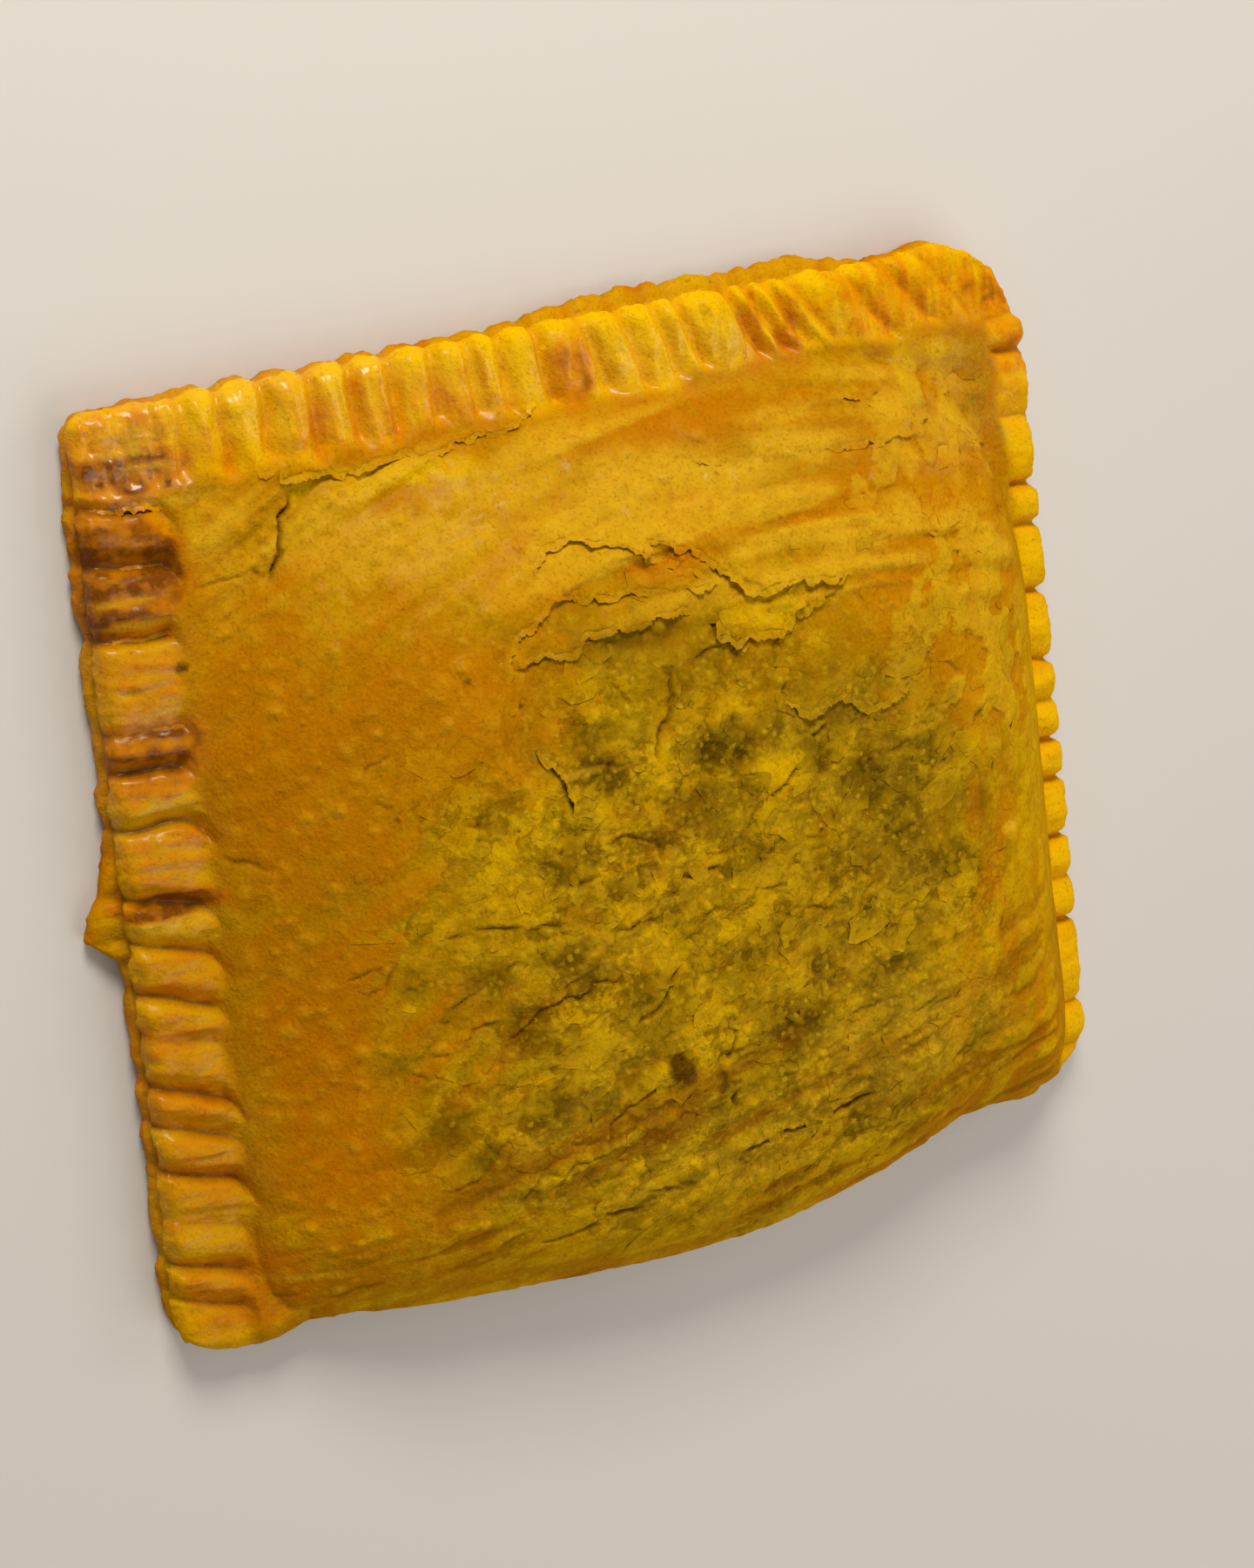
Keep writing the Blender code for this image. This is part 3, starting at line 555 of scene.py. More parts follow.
def noise(x, y, size, seed, cells=FORM_CELLS):
    """Smooth lumps of one size, between -1 and 1."""
    table = np.random.default_rng(seed).uniform(-1.0, 1.0, (cells, cells))
    column, row = np.floor(x / size).astype(int), np.floor(y / size).astype(int)
    across, up = x / size - column, y / size - row
    across, up = across * across * (3 - 2 * across), up * up * (3 - 2 * up)
    left, right, low, high = column % cells, (column + 1) % cells, row % cells, (row + 1) % cells
    lower = table[left, low] * (1 - across) + table[right, low] * across
    upper = table[left, high] * (1 - across) + table[right, high] * across
    return lower * (1 - up) + upper * up


def rough(x, y, size, seed, layers=3):
    """Lumps of several sizes, each half as large and half as strong as the last, between about -1 and 1."""
    total = np.zeros_like(x)
    for layer in range(layers):
        total = total + noise(x, y, size / 2**layer, seed + layer, FINE_CELLS) / 2**layer
    return total / ROUGH_SUM


def streaks(x, y, angle, long, short, seed, layers=2):
    """Rough lumps that are drawn out along an angle in degrees."""
    turn = np.radians(angle)
    along, across = x * np.cos(turn) + y * np.sin(turn), y * np.cos(turn) - x * np.sin(turn)
    return rough(along * short / long, across, short, seed, layers)


def bubbles(x, y, size, share, seed):
    """Round bubbles in a loose grid of one size: 1 at the middle of each, 0 between them."""
    draw = np.random.default_rng(seed)
    middle = draw.uniform(*BUBBLE_MIDDLE, (2, FORM_CELLS, FORM_CELLS))
    radius = draw.uniform(*BUBBLE_RADIUS, (FORM_CELLS, FORM_CELLS))
    radius = np.where(draw.uniform(0.0, 1.0, radius.shape) < share, radius, NO_BUBBLE)
    column, row = np.floor(x / size).astype(int), np.floor(y / size).astype(int)
    best = np.zeros_like(x)
    for i in (-1, 0, 1):
        for j in (-1, 0, 1):
            a, b = (column + i) % FORM_CELLS, (row + j) % FORM_CELLS
            off_x = x / size - column - i - middle[0][a, b]
            off_y = y / size - row - j - middle[1][a, b]
            best = np.maximum(best, 1.0 - (off_x**2 + off_y**2) / radius[a, b] ** 2)
    return np.sqrt(np.clip(best, 0.0, 1.0))


def off_middle(x, y, middle, reach):
    """Distance from a middle, as a share of the reach across and up."""
    return np.hypot((x - middle[0]) / reach[0], (y - middle[1]) / reach[1])


def following_side(side):
    """The side that comes next, walking anticlockwise."""
    return SIDES[(SIDES.index(side) + 1) % len(SIDES)]


def side_frame(side):
    """A side's first corner, its direction, its outward direction and its length."""
    start = np.array(CORNER[side])
    run = np.array(CORNER[following_side(side)]) - start
    length = np.hypot(*run)
    along = run / length
    return start, along, np.array([along[1], -along[0]]), length


def swell(side, place):
    """How far a side bows out, at places measured from its first corner."""
    reach = np.zeros_like(place)
    for middle, spread, height in SWELLS[side]:
        reach = reach + height * np.exp(-(((place - middle) / spread) ** 2))
    return reach


def inward(side, x, y):
    """How far points lie inside a side."""
    start, along, out, _ = side_frame(side)
    place = (x - start[0]) * along[0] + (y - start[1]) * along[1]
    return swell(side, place) - (x - start[0]) * out[0] - (y - start[1]) * out[1]


def inward_of_rim(x, y):
    """How far points lie inside the nearest crimped side."""
    return np.minimum.reduce([inward(side, x, y) for side in CRIMPED])


def strongest(kind, x, y, shares=FULL_SHARE):
    """The strongest of what the crimped sides do at each point, each side with its own share."""
    return np.maximum.reduce([shares[side] * kind(side, x, y) for side in CRIMPED])


def crimp_lean(side, place):
    """How much the crimps lean along the rim for each millimetre inward."""
    lean = np.zeros_like(place)
    for reach, start, end in CRIMP_LEAN[side]:
        lean = lean + reach * ramp(start, end, place)
    return lean


def crimp_place(side, x, y):
    """Place along the crimps of a side, which lean and wander, and distance inward from its edge."""
    depth_in = inward(side, x, y)
    along = x if side == "top" else y
    along = along - crimp_lean(side, along) * (depth_in - CRIMP_MIDDLE)
    along = along + CRIMP_BEND[side] * np.clip(depth_in - BEND_START, 0.0, BEND_MOST) ** 2
    return along + CRIMP_WANDER * noise(x, y, WANDER_SIZE, SEED + 4), depth_in


def crimp_fade(side, along, depth_in):
    """1 on the crimped rim of a side, 0 inside it."""
    length = CRIMP_LENGTH[side] + CRIMP_UNEVEN * noise(along, np.zeros_like(along), WANDER_SIZE, SEED + 5)
    return 1.0 - ramp(length - CRIMP_END[0], length + CRIMP_END[1], depth_in)


def on_rim(side, x, y):
    """1 on the crimped rim of a side, 0 inside it, from places alone."""
    return crimp_fade(side, *crimp_place(side, x, y))


def grooves(side, x, y):
    """How deep the crimps of one side cut at each point."""
    along, depth_in = crimp_place(side, x, y)
    places = np.sort([place for place, _ in GROOVES[side]])
    index = np.clip(np.searchsorted(places, along), 1, len(places) - 1)
    share = (along - places[index - 1]) / (places[index] - places[index - 1])
    cut = TILE_SAG[side] * np.clip(2.0 * share - 1.0, -1.0, 1.0) ** 2
    for place, depth in GROOVES[side]:
        off = along - place
        width = np.where(off < 0, *GROOVE_WIDTH[side])
        cut = np.maximum(cut, depth * np.exp(-((off / width) ** 2)))
    return cut * crimp_fade(side, along, depth_in)


def pillow(x, y):
    """The height that the filling adds: flat inside, falling to nothing at the inner ends of the crimps."""
    total, power, rounding, weight = 0.0, 0.0, 0.0, 1e-6
    corner = between(CORNER_POWER, ramp(*CORNER_CHANGE, y))
    for side in SIDES:
        pull = 1.0 - np.clip((inward(side, x, y) - RISE_START[side]) / RISE_LENGTH[side], 0.0, 1.0)
        total = total + pull**corner
        power = power + pull * RISE_POWER[side]
        rounding = rounding + pull * RISE_ROUND[side]
        weight = weight + pull
    pull = np.clip(total, 0.0, 1.0) ** (1.0 / corner)
    return CROWN * (1.0 - pull ** np.maximum(power / weight, 1.0)) ** np.maximum(rounding / weight, 0.5)


def patch(x, y):
    """1 on the bared patch, 0 outside its ragged edge."""
    ragged = RAGGED_SHARE * noise(x, y, RAGGED_SIZE, SEED + 1)
    off = off_middle(x, y, PATCH_MIDDLE, PATCH_REACH) + ragged
    return ramp(*PATCH_EDGE, off) * ramp(*PATCH_LOW_EDGE, y)


def near_line(x, y, points):
    """Distance from a line of points, its side (above 0 on the left), and how far from its nearer end."""
    best = np.full_like(x, np.inf)
    side, place, run = np.zeros_like(x), np.zeros_like(x), 0.0
    for (x0, y0), (x1, y1) in zip(points, points[1:]):
        length = np.hypot(x1 - x0, y1 - y0)
        share = np.clip(((x - x0) * (x1 - x0) + (y - y0) * (y1 - y0)) / length**2, 0.0, 1.0)
        distance = np.hypot(x - x0 - share * (x1 - x0), y - y0 - share * (y1 - y0))
        nearer = distance < best
        best = np.where(nearer, distance, best)
        side = np.where(nearer, (x1 - x0) * (y - y0) - (y1 - y0) * (x - x0), side)
        place = np.where(nearer, run + share * length, place)
        run += length
    return best, np.sign(side), np.minimum(place, run - place)


def places_near(x, y, points, margin):
    """Which places lie within a margin of the box round a line."""
    line = np.array(points)
    low, high = line.min(0) - margin, line.max(0) + margin
    return (x > low[0]) & (x < high[0]) & (y > low[1]) & (y < high[1])


def wandering(x, y):
    """Places moved a little at random, which makes straight lines ragged."""
    aside = CRACK_WANDER * rough(x, y, CRACK_WANDER_SIZE, SEED + 20)
    upward = CRACK_WANDER * rough(x, y, CRACK_WANDER_SIZE, SEED + 30)
    return x + aside, y + upward


def broken_layers(x, y):
    """The raised edges of broken layers with the hollow under each, and the painted shadow in that hollow."""
    ragged_x, ragged_y = wandering(x, y)
    raised, hollow = np.zeros_like(x), np.zeros_like(x)
    for lift, fade, points in BROKEN_EDGES:
        near = places_near(x, y, points, BROKEN_MARGIN * fade)
        distance, side, from_end = near_line(ragged_x[near], ragged_y[near], points)
        taper = ramp(0.0, BROKEN_TAPER, from_end)
        edge = ramp(-BROKEN_SLOPE, BROKEN_SLOPE, side * distance)
        under = np.exp(-((distance / UNDERCUT_WIDTH) ** 2)) * (1.0 - edge) * taper
        raised[near] += lift * edge * np.exp(-distance / fade) * taper - UNDERCUT_DEPTH * lift * under
        # Painted shadow in the hollow under the edge
        hollow[near] = np.maximum(hollow[near], under * min(1.0, UNDERCUT_GAIN * lift))
    least, most = UNDERCUT_UNEVEN
    uneven = least + most * noise(x, y, UNDERCUT_UNEVEN_SIZE, SEED + 22)
    return raised, hollow * np.clip(uneven, UNDERCUT_LEAST, 1.0)


def small_cracks():
    """Short fine cracks of the flaky skin, most of them nearly along the fold."""
    draw = np.random.default_rng(SEED + 21)
    lines = []
    for _ in range(SMALL_CRACKS):
        start = draw.uniform(*SMALL_CRACK_AREA)
        turn = np.radians(draw.normal(PLATE_ANGLE, SMALL_CRACK_TURN))
        length = draw.uniform(*SMALL_CRACK_LENGTH)
        steps = np.linspace(0.0, length, SMALL_CRACK_POINTS)
        aside = np.cumsum(draw.normal(0.0, SMALL_CRACK_ASIDE, SMALL_CRACK_POINTS))
        across = start[0] + steps * np.cos(turn) - aside * np.sin(turn)
        up = start[1] + steps * np.sin(turn) + aside * np.cos(turn)
        lines.append(tuple(zip(across, up)))
    return tuple(lines)


def cracks(x, y):
    """How deep the skin is cracked, and how dark the cracks are."""
    ragged_x, ragged_y = wandering(x, y)
    cut, dark = np.zeros_like(x), np.zeros_like(x)
    for width, depth, lines in CRACKS + ((*SMALL_CRACK_SIZE, small_cracks()),):
        for points in lines:
            near = places_near(x, y, points, CRACK_MARGIN * width)
            distance, _, from_end = near_line(ragged_x[near], ragged_y[near], points)
            taper = CRACK_ENDS[0] + CRACK_ENDS[1] * ramp(0.0, CRACK_TAPER, from_end)
            shape = np.exp(-((distance / width) ** 2)) * taper
            cut[near] = np.maximum(cut[near], depth * shape)
            dark[near] = np.maximum(dark[near], (CRACK_DARK[0] + CRACK_DARK[1] * depth) * shape)
    return cut, dark


def painted(x, y, name):
    """How strongly one kind of colour shows: soft spots with ragged edges."""
    ragged = PAINT_RAGGED * rough(x, y, PAINT_RAGGED_SIZE, SEED + 40 + len(name))
    strength = np.zeros_like(x)
    for middle_x, middle_y, across, up, most in PAINT[name]:
        reach = PAINT_MARGIN * max(across, up)
        near = (np.abs(x - middle_x) < reach) & (np.abs(y - middle_y) < reach)
        off = off_middle(x[near], y[near], (middle_x, middle_y), (across, up))
        strength[near] = np.maximum(strength[near], most * ramp(*PAINT_EDGE, off + ragged[near]))
    return strength


def body_zone(x, y):
    """1 inside the crimped rim, 0 on it."""
    return ramp(*BODY_ZONE, inward_of_rim(x, y))


def flaky_zone(x, y):
    """1 where the skin is flaky and blistered: the middle, the lower right and the bottom."""
    off = off_middle(x, y, FLAKY_MIDDLE, FLAKY_REACH)
    ragged = FLAKY_RAGGED * rough(x, y, FLAKY_RAGGED_SIZE, SEED + 50)
    return ramp(*FLAKY_EDGE, off + ragged) * body_zone(x, y)


def terraced(value, steps, sharpness):
    """A smooth field broken into level steps with steep edges between them."""
    scaled = value * steps
    whole = np.floor(scaled)
    return (whole + ramp(0.5 - sharpness, 0.5 + sharpness, scaled - whole)) / steps


def plates(x, y):
    """Broken plates of the upper layers, drawn out along the fold: about -1 to 1."""
    warp_x, warp_y = wandering(x, y)
    total = np.zeros_like(x)
    for size, strength, steps, sharpness, seed, layers in PLATE_LAYERS:
        long, short = size * PLATE_LONG, size * PLATE_SHORT
        plate = streaks(warp_x, warp_y, PLATE_ANGLE, long, short, SEED + seed, layers)
        total = total + strength * terraced(plate, steps, sharpness)
    return total


def islands(x, y):
    """1 on what is left of the outermost layer at the upper right, with steep edges, and its zone."""
    off = off_middle(x, y, ISLAND_MIDDLE, ISLAND_REACH)
    ragged = ISLAND_RAGGED * rough(x, y, ISLAND_RAGGED_SIZE, SEED + 97)
    zone = ramp(*ISLAND_EDGE, off + ragged) * body_zone(x, y)
    warp_x, warp_y = wandering(x, y)
    lumps = streaks(warp_x, warp_y, ISLAND_ANGLE, ISLAND_LONG, ISLAND_SHORT, SEED + 98, 3)
    return ramp(*ISLAND_STEP, lumps) * zone, zone


def waxy_bands(x, y):
    """Long smooth wrinkles below the top rim, about -1 to 1, and the zone they lie in."""
    zone = ramp(*BAND_ZONE, y + BAND_TILT * x) * body_zone(x, y)
    bend = y + BAND_BEND * (x - BAND_MIDDLE) ** 2
    return streaks(x, bend, *BAND_STREAK, SEED + 64), zone


def slanted_streaks(x, y):
    """Soft slanting streaks on the left of the dome, about -1 to 1, and the zone they lie in."""
    zone = ramp(*SLANT_ZONE_X, x) * ramp(*SLANT_ZONE_Y, y) * body_zone(x, y)
    return streaks(x, y, *SLANT_STREAK, SEED + 65), zone


def fold_lines(x, y):
    """Drawn-out ridges of the skin along the fold, about -1 to 1, and the zone they lie in."""
    zone = ramp(*FOLD_ZONE, y - FOLD_TILT * x) * body_zone(x, y)
    warp_x, warp_y = wandering(x, y)
    return streaks(warp_x, warp_y, *FOLD_STREAK, SEED + 75, 3), zone


def right_folds(x, y):
    """Upright folds of the skin near the right rim, about -1 to 1, and the zone they lie in."""
    return streaks(x, y, *RIGHT_STREAK, SEED + 66), ramp(*RIGHT_ZONE, x) * body_zone(x, y)


# Each kind of wrinkle, its height, and its colours: strength, and the values between which each sets in
WRINKLES = (
    # Pale on the bands' ridges and lemon on the ridges of both kinds of fold are painted highlight; toast in
    # their valleys is painted shade
    (waxy_bands, 0.85, (("pale", 0.70, 0.0, 0.4),)),
    (slanted_streaks, 0.50, (("toast", 0.34, 0.0, 0.4), ("lemon", 0.16, 0.0, -0.4))),
    (fold_lines, 0.38, (("lemon", 0.60, 0.05, 0.45), ("toast", 0.22, -0.15, -0.5))),
    (right_folds, 0.55, (("lemon", 0.55, 0.05, 0.4), ("toast", 0.30, -0.05, -0.4))),
)


def soft_lumps(x, y):
    """How high the low round lumps of the smoother skin stand."""
    smooth = body_zone(x, y) * (1.0 - LUMP_LOWER * flaky_zone(x, y))
    height = np.zeros_like(x)
    for size, share, most, seed in LUMPS:
        height = height + most * bubbles(x, y, size, share, SEED + seed) ** LUMP_POWER
    return height * smooth


def skin_relief(x, y):
    """Plates, blisters and wrinkles of the baked skin."""
    body = body_zone(x, y)
    blistered = flaky_zone(x, y)
    relief = PLATE_HEIGHT * plates(x, y) * (PLATE_SHARES[0] * body + PLATE_SHARES[1] * blistered)
    on_skin = BLISTER_SHARES[0] * body + BLISTER_SHARES[1] * blistered
    for size, share, height, seed in BLISTERS:
        relief = relief + height * bubbles(x, y, size, share, SEED + seed) * on_skin
    grain = GRAIN_HEIGHT * rough(x, y, GRAIN_SIZE, SEED + 63)
    relief = relief + grain * (GRAIN_SHARES[0] + GRAIN_SHARES[1] * blistered)
    for kind, height, _ in WRINKLES:
        streak, zone = kind(x, y)
        relief = relief + height * streak * zone
    return relief + soft_lumps(x, y) + ISLAND_HEIGHT * islands(x, y)[0]


def crimp_streaks(side, x, y):
    """Fine layers along the crimps of one side, about -1 to 1, and 0 off that side."""
    layers = streaks(x, y, STREAK_ANGLE[side], *STREAK_SIZE, SEED + 70, 3)
    return layers * on_rim(side, x, y)


def crimp_relief(x, y):
    """Fine layers along the crimps, and how far their inner ends are pressed in."""
    relief = np.zeros_like(x)
    for side in CRIMPED:
        along, depth_in = crimp_place(side, x, y)
        relief = relief + STREAK_HEIGHT[side] * crimp_streaks(side, x, y)
        rough_skin = CRIMP_ROUGH * rough(x, y, CRIMP_ROUGH_SIZE, SEED + 76)
        relief = relief + rough_skin * crimp_fade(side, along, depth_in)
        end = CRIMP_LENGTH[side] - PRESS_WIDTH
        uneven = PRESS_UNEVEN[0] + PRESS_UNEVEN[1] * noise(along, depth_in, PRESS_UNEVEN_SIZE, SEED + 71)
        press = np.exp(-(((depth_in - end) / PRESS_WIDTH) ** 2)) * uneven
        relief = relief - CRIMP_PRESS[side] * press * ramp(*PRESS_ENDS, np.abs(along))
    return relief


def creases(side, x, y):
    """1 along the deepest line of each groove of a side, where painted shade goes."""
    along, depth_in = crimp_place(side, x, y)
    line = np.zeros_like(x)
    for place, depth in GROOVES[side]:
        deepest = min(1.0, CREASE_GAIN * depth)
        line = np.maximum(line, deepest * np.exp(-(((along - place) / CREASE_WIDTH) ** 2)))
    return line * crimp_fade(side, along, depth_in)


def top_height(x, y):
    """Height of the upper face over the flat back."""
    height = RIM + pillow(x, y)
    body = ramp(*BODY_EDGE, inward_of_rim(x, y))
    height = height + LUMP_HEIGHT * body * noise(x, y, LUMP_SIZE, SEED + 2)
    height = height - PATCH_STEP * patch(x, y) + broken_layers(x, y)[0] - cracks(x, y)[0]
    height = height + skin_relief(x, y) + crimp_relief(x, y)
    for side in CRIMPED:
        near = np.clip(1.0 - inward(side, x, y) / EDGE_ROUND[side], 0.0, 1.0)
        height = height - grooves(side, x, y) - EDGE_DROP[side] * (1.0 - np.sqrt(1.0 - near**2))
    return height


def side_line(side, share):
    """Points of the upper sheet's edge along a side, from the middle of one rounded corner to the next."""
    start, along, out, length = side_frame(side)
    first, last = CORNER_CUT[side], CORNER_CUT[following_side(side)]
    place = ARC_SHARE * first + share * (length - ARC_SHARE * (first + last))
    from_start = np.clip(first - place, 0.0, None)
    from_end = np.clip(last - (length - place), 0.0, None)
    cut = first - np.sqrt(first**2 - from_start**2) + last - np.sqrt(last**2 - from_end**2)
    return start + np.outer(place, along) + np.outer(swell(side, place) - cut, out)


def edge_lines(counts):
    """The four side lines with their corners made to meet, from the counts of steps across and up."""
    lines = {}
    for side in SIDES:
        lines[side] = side_line(side, np.linspace(0.0, 1.0, counts[SIDES.index(side) % 2] + 1))
    for side in SIDES:
        following = lines[following_side(side)]
        meeting = (lines[side][-1] + following[0]) / 2
        fade = np.linspace(0.0, 1.0, len(lines[side]))[:, None] ** MEETING_POWER
        lines[side] = lines[side] + fade * (meeting - lines[side][-1])
        fade = np.linspace(1.0, 0.0, len(following))[:, None] ** MEETING_POWER
        following += fade * (meeting - following[0])
    return lines


def scalloped(lines):
    """The side lines, drawn in a little at each groove of the crimps."""
    notched = dict(lines)
    for side in CRIMPED:
        line = lines[side]
        out = side_frame(side)[2]
        from_end = np.minimum(np.arange(len(line)), np.arange(len(line))[::-1]) * GRID
        notch = SCALLOP[side] * grooves(side, line[:, 0], line[:, 1])
        notch = notch + SCALLOP_ROUGH * rough(line[:, 0], line[:, 1], SCALLOP_ROUGH_SIZE, SEED + 80)
        notched[side] = line - np.outer(notch * ramp(0.0, SCALLOP_TAPER, from_end), out)
    return notched


def ring_of(lines):
    """The side lines joined into one closed ring."""
    return np.concatenate([lines[side][:-1] for side in SIDES])


def outward_of(ring):
    """Outward directions of an anticlockwise ring."""
    run = np.roll(ring, -1, 0) - np.roll(ring, 1, 0)
    out = np.stack([run[:, 1], -run[:, 0]], 1)
    return out / np.linalg.norm(out, axis=1)[:, None]


def side_weight(counts, side):
    """1 on a side of the ring and 0 on the others, with soft ends."""
    lengths = [counts[k % 2] for k in range(len(SIDES))]
    place = np.arange(sum(lengths)) - sum(lengths[: SIDES.index(side)])
    steps = lengths[SIDES.index(side)]
    soft = SOFT_CORNER / GRID
    return ramp(0.0, soft, place) * ramp(steps, steps - soft, place)


def sheet_reach(ring, counts):
    """How far the lower sheet stands out past the upper one."""
    x, y = ring[:, 0], ring[:, 1]
    reach = SHEET_RAGGED_REACH * noise(x, y, SHEET_RAGGED_SIZE, SEED + 3)
    for side in CRIMPED:
        reach = reach + SHEET_OUT[side] * side_weight(counts, side)
    ledge = ramp(*TOP_LEDGE_START, x) * ramp(*TOP_LEDGE_END, x)
    reach = reach + TOP_LEDGE * ledge * side_weight(counts, "top")
    above = (FLAP_TOP - y) / (FLAP_TOP - FLAP_TIP)
    below = (y - FLAP_END) / (FLAP_TIP - FLAP_END)
    flap = np.clip(np.minimum(above, below), 0.0, 1.0)
    return reach + FLAP_REACH * flap * side_weight(counts, "left")


def fill_patch(ring, counts):
    """A grid that fills a closed ring of points, blended between its four sides."""
    wide, tall = counts
    bottom = ring[: wide + 1]
    right = ring[wide : wide + tall + 1]
    top = ring[wide + tall : 2 * wide + tall + 1][::-1]
    left = np.concatenate([ring[2 * wide + tall :], ring[:1]])[::-1]
    u, v = np.linspace(0, 1, wide + 1)[:, None, None], np.linspace(0, 1, tall + 1)[None, :, None]
    ruled = (1 - v) * bottom[:, None] + v * top[:, None] + (1 - u) * left[None] + u * right[None]
    corners = (1 - u) * ((1 - v) * bottom[0] + v * top[0]) + u * ((1 - v) * bottom[-1] + v * top[-1])
    return ruled - corners


def wall_profile():
    """The wall's rows with more between them: number, step out and share of the height."""
    numbers = np.arange(0.0, len(CRIMPED_WALL) - 1 + 0.5 / WALL_SPLIT, 1.0 / WALL_SPLIT)
    steps, levels = np.array(CRIMPED_WALL).T
    given = np.arange(len(CRIMPED_WALL))
    return list(zip(numbers, np.interp(numbers, given, steps), np.interp(numbers, given, levels)))


def wall_rows(ring, heights, counts):
    """Rows of points from the upper edge down to the back: a laminated crimp, or a roll along the fold."""
    out = outward_of(ring_of(edge_lines(counts)))
    fold = side_weight(counts, "bottom")
    reach = sheet_reach(ring, counts)
    start = np.radians(ROLL_START)
    last = len(CRIMPED_WALL) - 1
    around = np.arange(len(ring)) * GRID
    rows = []
    for number, step, level in wall_profile():
        turn = start + (np.pi - start) * number / last
        roll_step = ROLL_REACH * (np.sin(turn) - np.sin(start))
        roll_level = (1.0 + np.cos(turn)) / (1.0 + np.cos(start))
        sheet = reach * ramp(SEAM_ROW - SEAM_START, SEAM_ROW + 1.0, number)
        level_line = np.full(len(ring), WALL_FLAKY_STEP * number)
        flaky = WALL_FLAKY * rough(around, level_line, WALL_FLAKY_SIZE, SEED + 81)
        flaky = flaky * ramp(0.0, 1.0, number) * ramp(last, last - 1.0, number)
        plain = (1.0 - fold) * (step + sheet)
        shift = fold * roll_step + plain + (1.0 - WALL_SMOOTH_FOLD * fold) * flaky
        share = fold * roll_level + (1.0 - fold) * level
        rows.append(np.column_stack([ring + out * shift[:, None], heights * share]))
    return rows


def ring_places(wide, tall):
    """Grid places of the border points of a grid, walked anticlockwise."""
    bottom = [(i, 0) for i in range(wide)]
    right = [(wide, j) for j in range(tall)]
    top = [(i, tall) for i in range(wide, 0, -1)]
    left = [(0, j) for j in range(tall, 0, -1)]
    return bottom + right + top + left


def grid_quads(columns, rows):
    """Faces of a grid whose points are numbered column by column."""
    i, j = np.meshgrid(np.arange(columns - 1), np.arange(rows - 1), indexing="ij")
    first = (i * rows + j).ravel()
    return np.stack([first, first + rows, first + rows + 1, first + 1], 1)


def closed_mesh():
    """Points and faces of the whole pie, and the heights of its flat back."""
    span = (CORNER["right"][0] - CORNER["bottom"][0], CORNER["top"][1] - CORNER["right"][1])
    counts = [int(reach / GRID) // BASE_STRIDE * BASE_STRIDE for reach in span]
    ring = ring_of(scalloped(edge_lines(counts)))
    plan = fill_patch(ring, counts)
    front = np.dstack([plan, top_height(plan[..., 0], plan[..., 1])])
    places = ring_places(*counts)
    heights = np.array([front[place][2] for place in places])
    rows = wall_rows(ring, heights, counts)
    back = fill_patch(rows[-1][:, :2], counts)[::BASE_STRIDE, ::BASE_STRIDE]
    return assemble(front, rows, back, places)


def assemble(front, rows, back, places):
    """One closed list of points and faces from the front grid, the wall rows and the coarse back grid."""
    columns, column = front.shape[0], front.shape[1]
    points = [front.reshape(-1, 3)]
    quads = [grid_quads(columns, column)]
    upper = np.array([i * column + j for i, j in places])
    total, size = len(points[0]), len(places)
    for row in rows[1:]:
        lower = total + np.arange(size)
        points.append(row)
        total += size
        quads.append(np.stack([np.roll(upper, -1), upper, lower, np.roll(lower, -1)], 1))
        upper = lower
    steps = (back.shape[0] - 1, back.shape[1] - 1)
    inner, back_points = {}, []
    for i in range(1, steps[0]):
        for j in range(1, steps[1]):
            inner[i, j] = total + len(back_points)
            back_points.append((back[i, j, 0], back[i, j, 1], 0.0))
    points.append(np.array(back_points))
    border = {place: int(upper[k]) for k, place in enumerate(places)}
    faces = np.concatenate(quads).tolist()
    for i in range(steps[0]):
        for j in range(steps[1]):
            faces.append(back_face(i, j, steps, inner, border))
    return np.concatenate(points), faces


def back_face(i, j, steps, inner, border):
    """One face of the back, facing down, with every border point of its sides."""
    corners = [(i, j), (i, j + 1), (i + 1, j + 1), (i + 1, j)]
    face = []
    for here, there in zip(corners, corners[1:] + corners[:1]):
        if here in inner:
            face.append(inner[here])
        else:
            face.append(border[here[0] * BASE_STRIDE, here[1] * BASE_STRIDE])
        step = (there[0] - here[0], there[1] - here[1])
        along_left_or_right = step[0] == 0 and here[0] in (0, steps[0])
        along_bottom_or_top = step[1] == 0 and here[1] in (0, steps[1])
        if along_left_or_right or along_bottom_or_top:
            for k in range(1, BASE_STRIDE):
                face.append(border[here[0] * BASE_STRIDE + step[0] * k, here[1] * BASE_STRIDE + step[1] * k])
    return face


def thinned(pie):
    """Keep the triangles that the surface needs."""
    triangles = sum(len(face.vertices) - 2 for face in pie.data.polygons)
    thin = pie.modifiers.new("thin", "DECIMATE")
    thin.ratio = TRIANGLES / triangles
    evaluated = pie.evaluated_get(bpy.context.evaluated_depsgraph_get())
    mesh = bpy.data.meshes.new_from_object(evaluated)
    pie.modifiers.clear()
    pie.data = mesh
    for vertex in mesh.vertices:
        if vertex.co.z < FLAT_BELOW * MM:
            vertex.co.z = 0.0


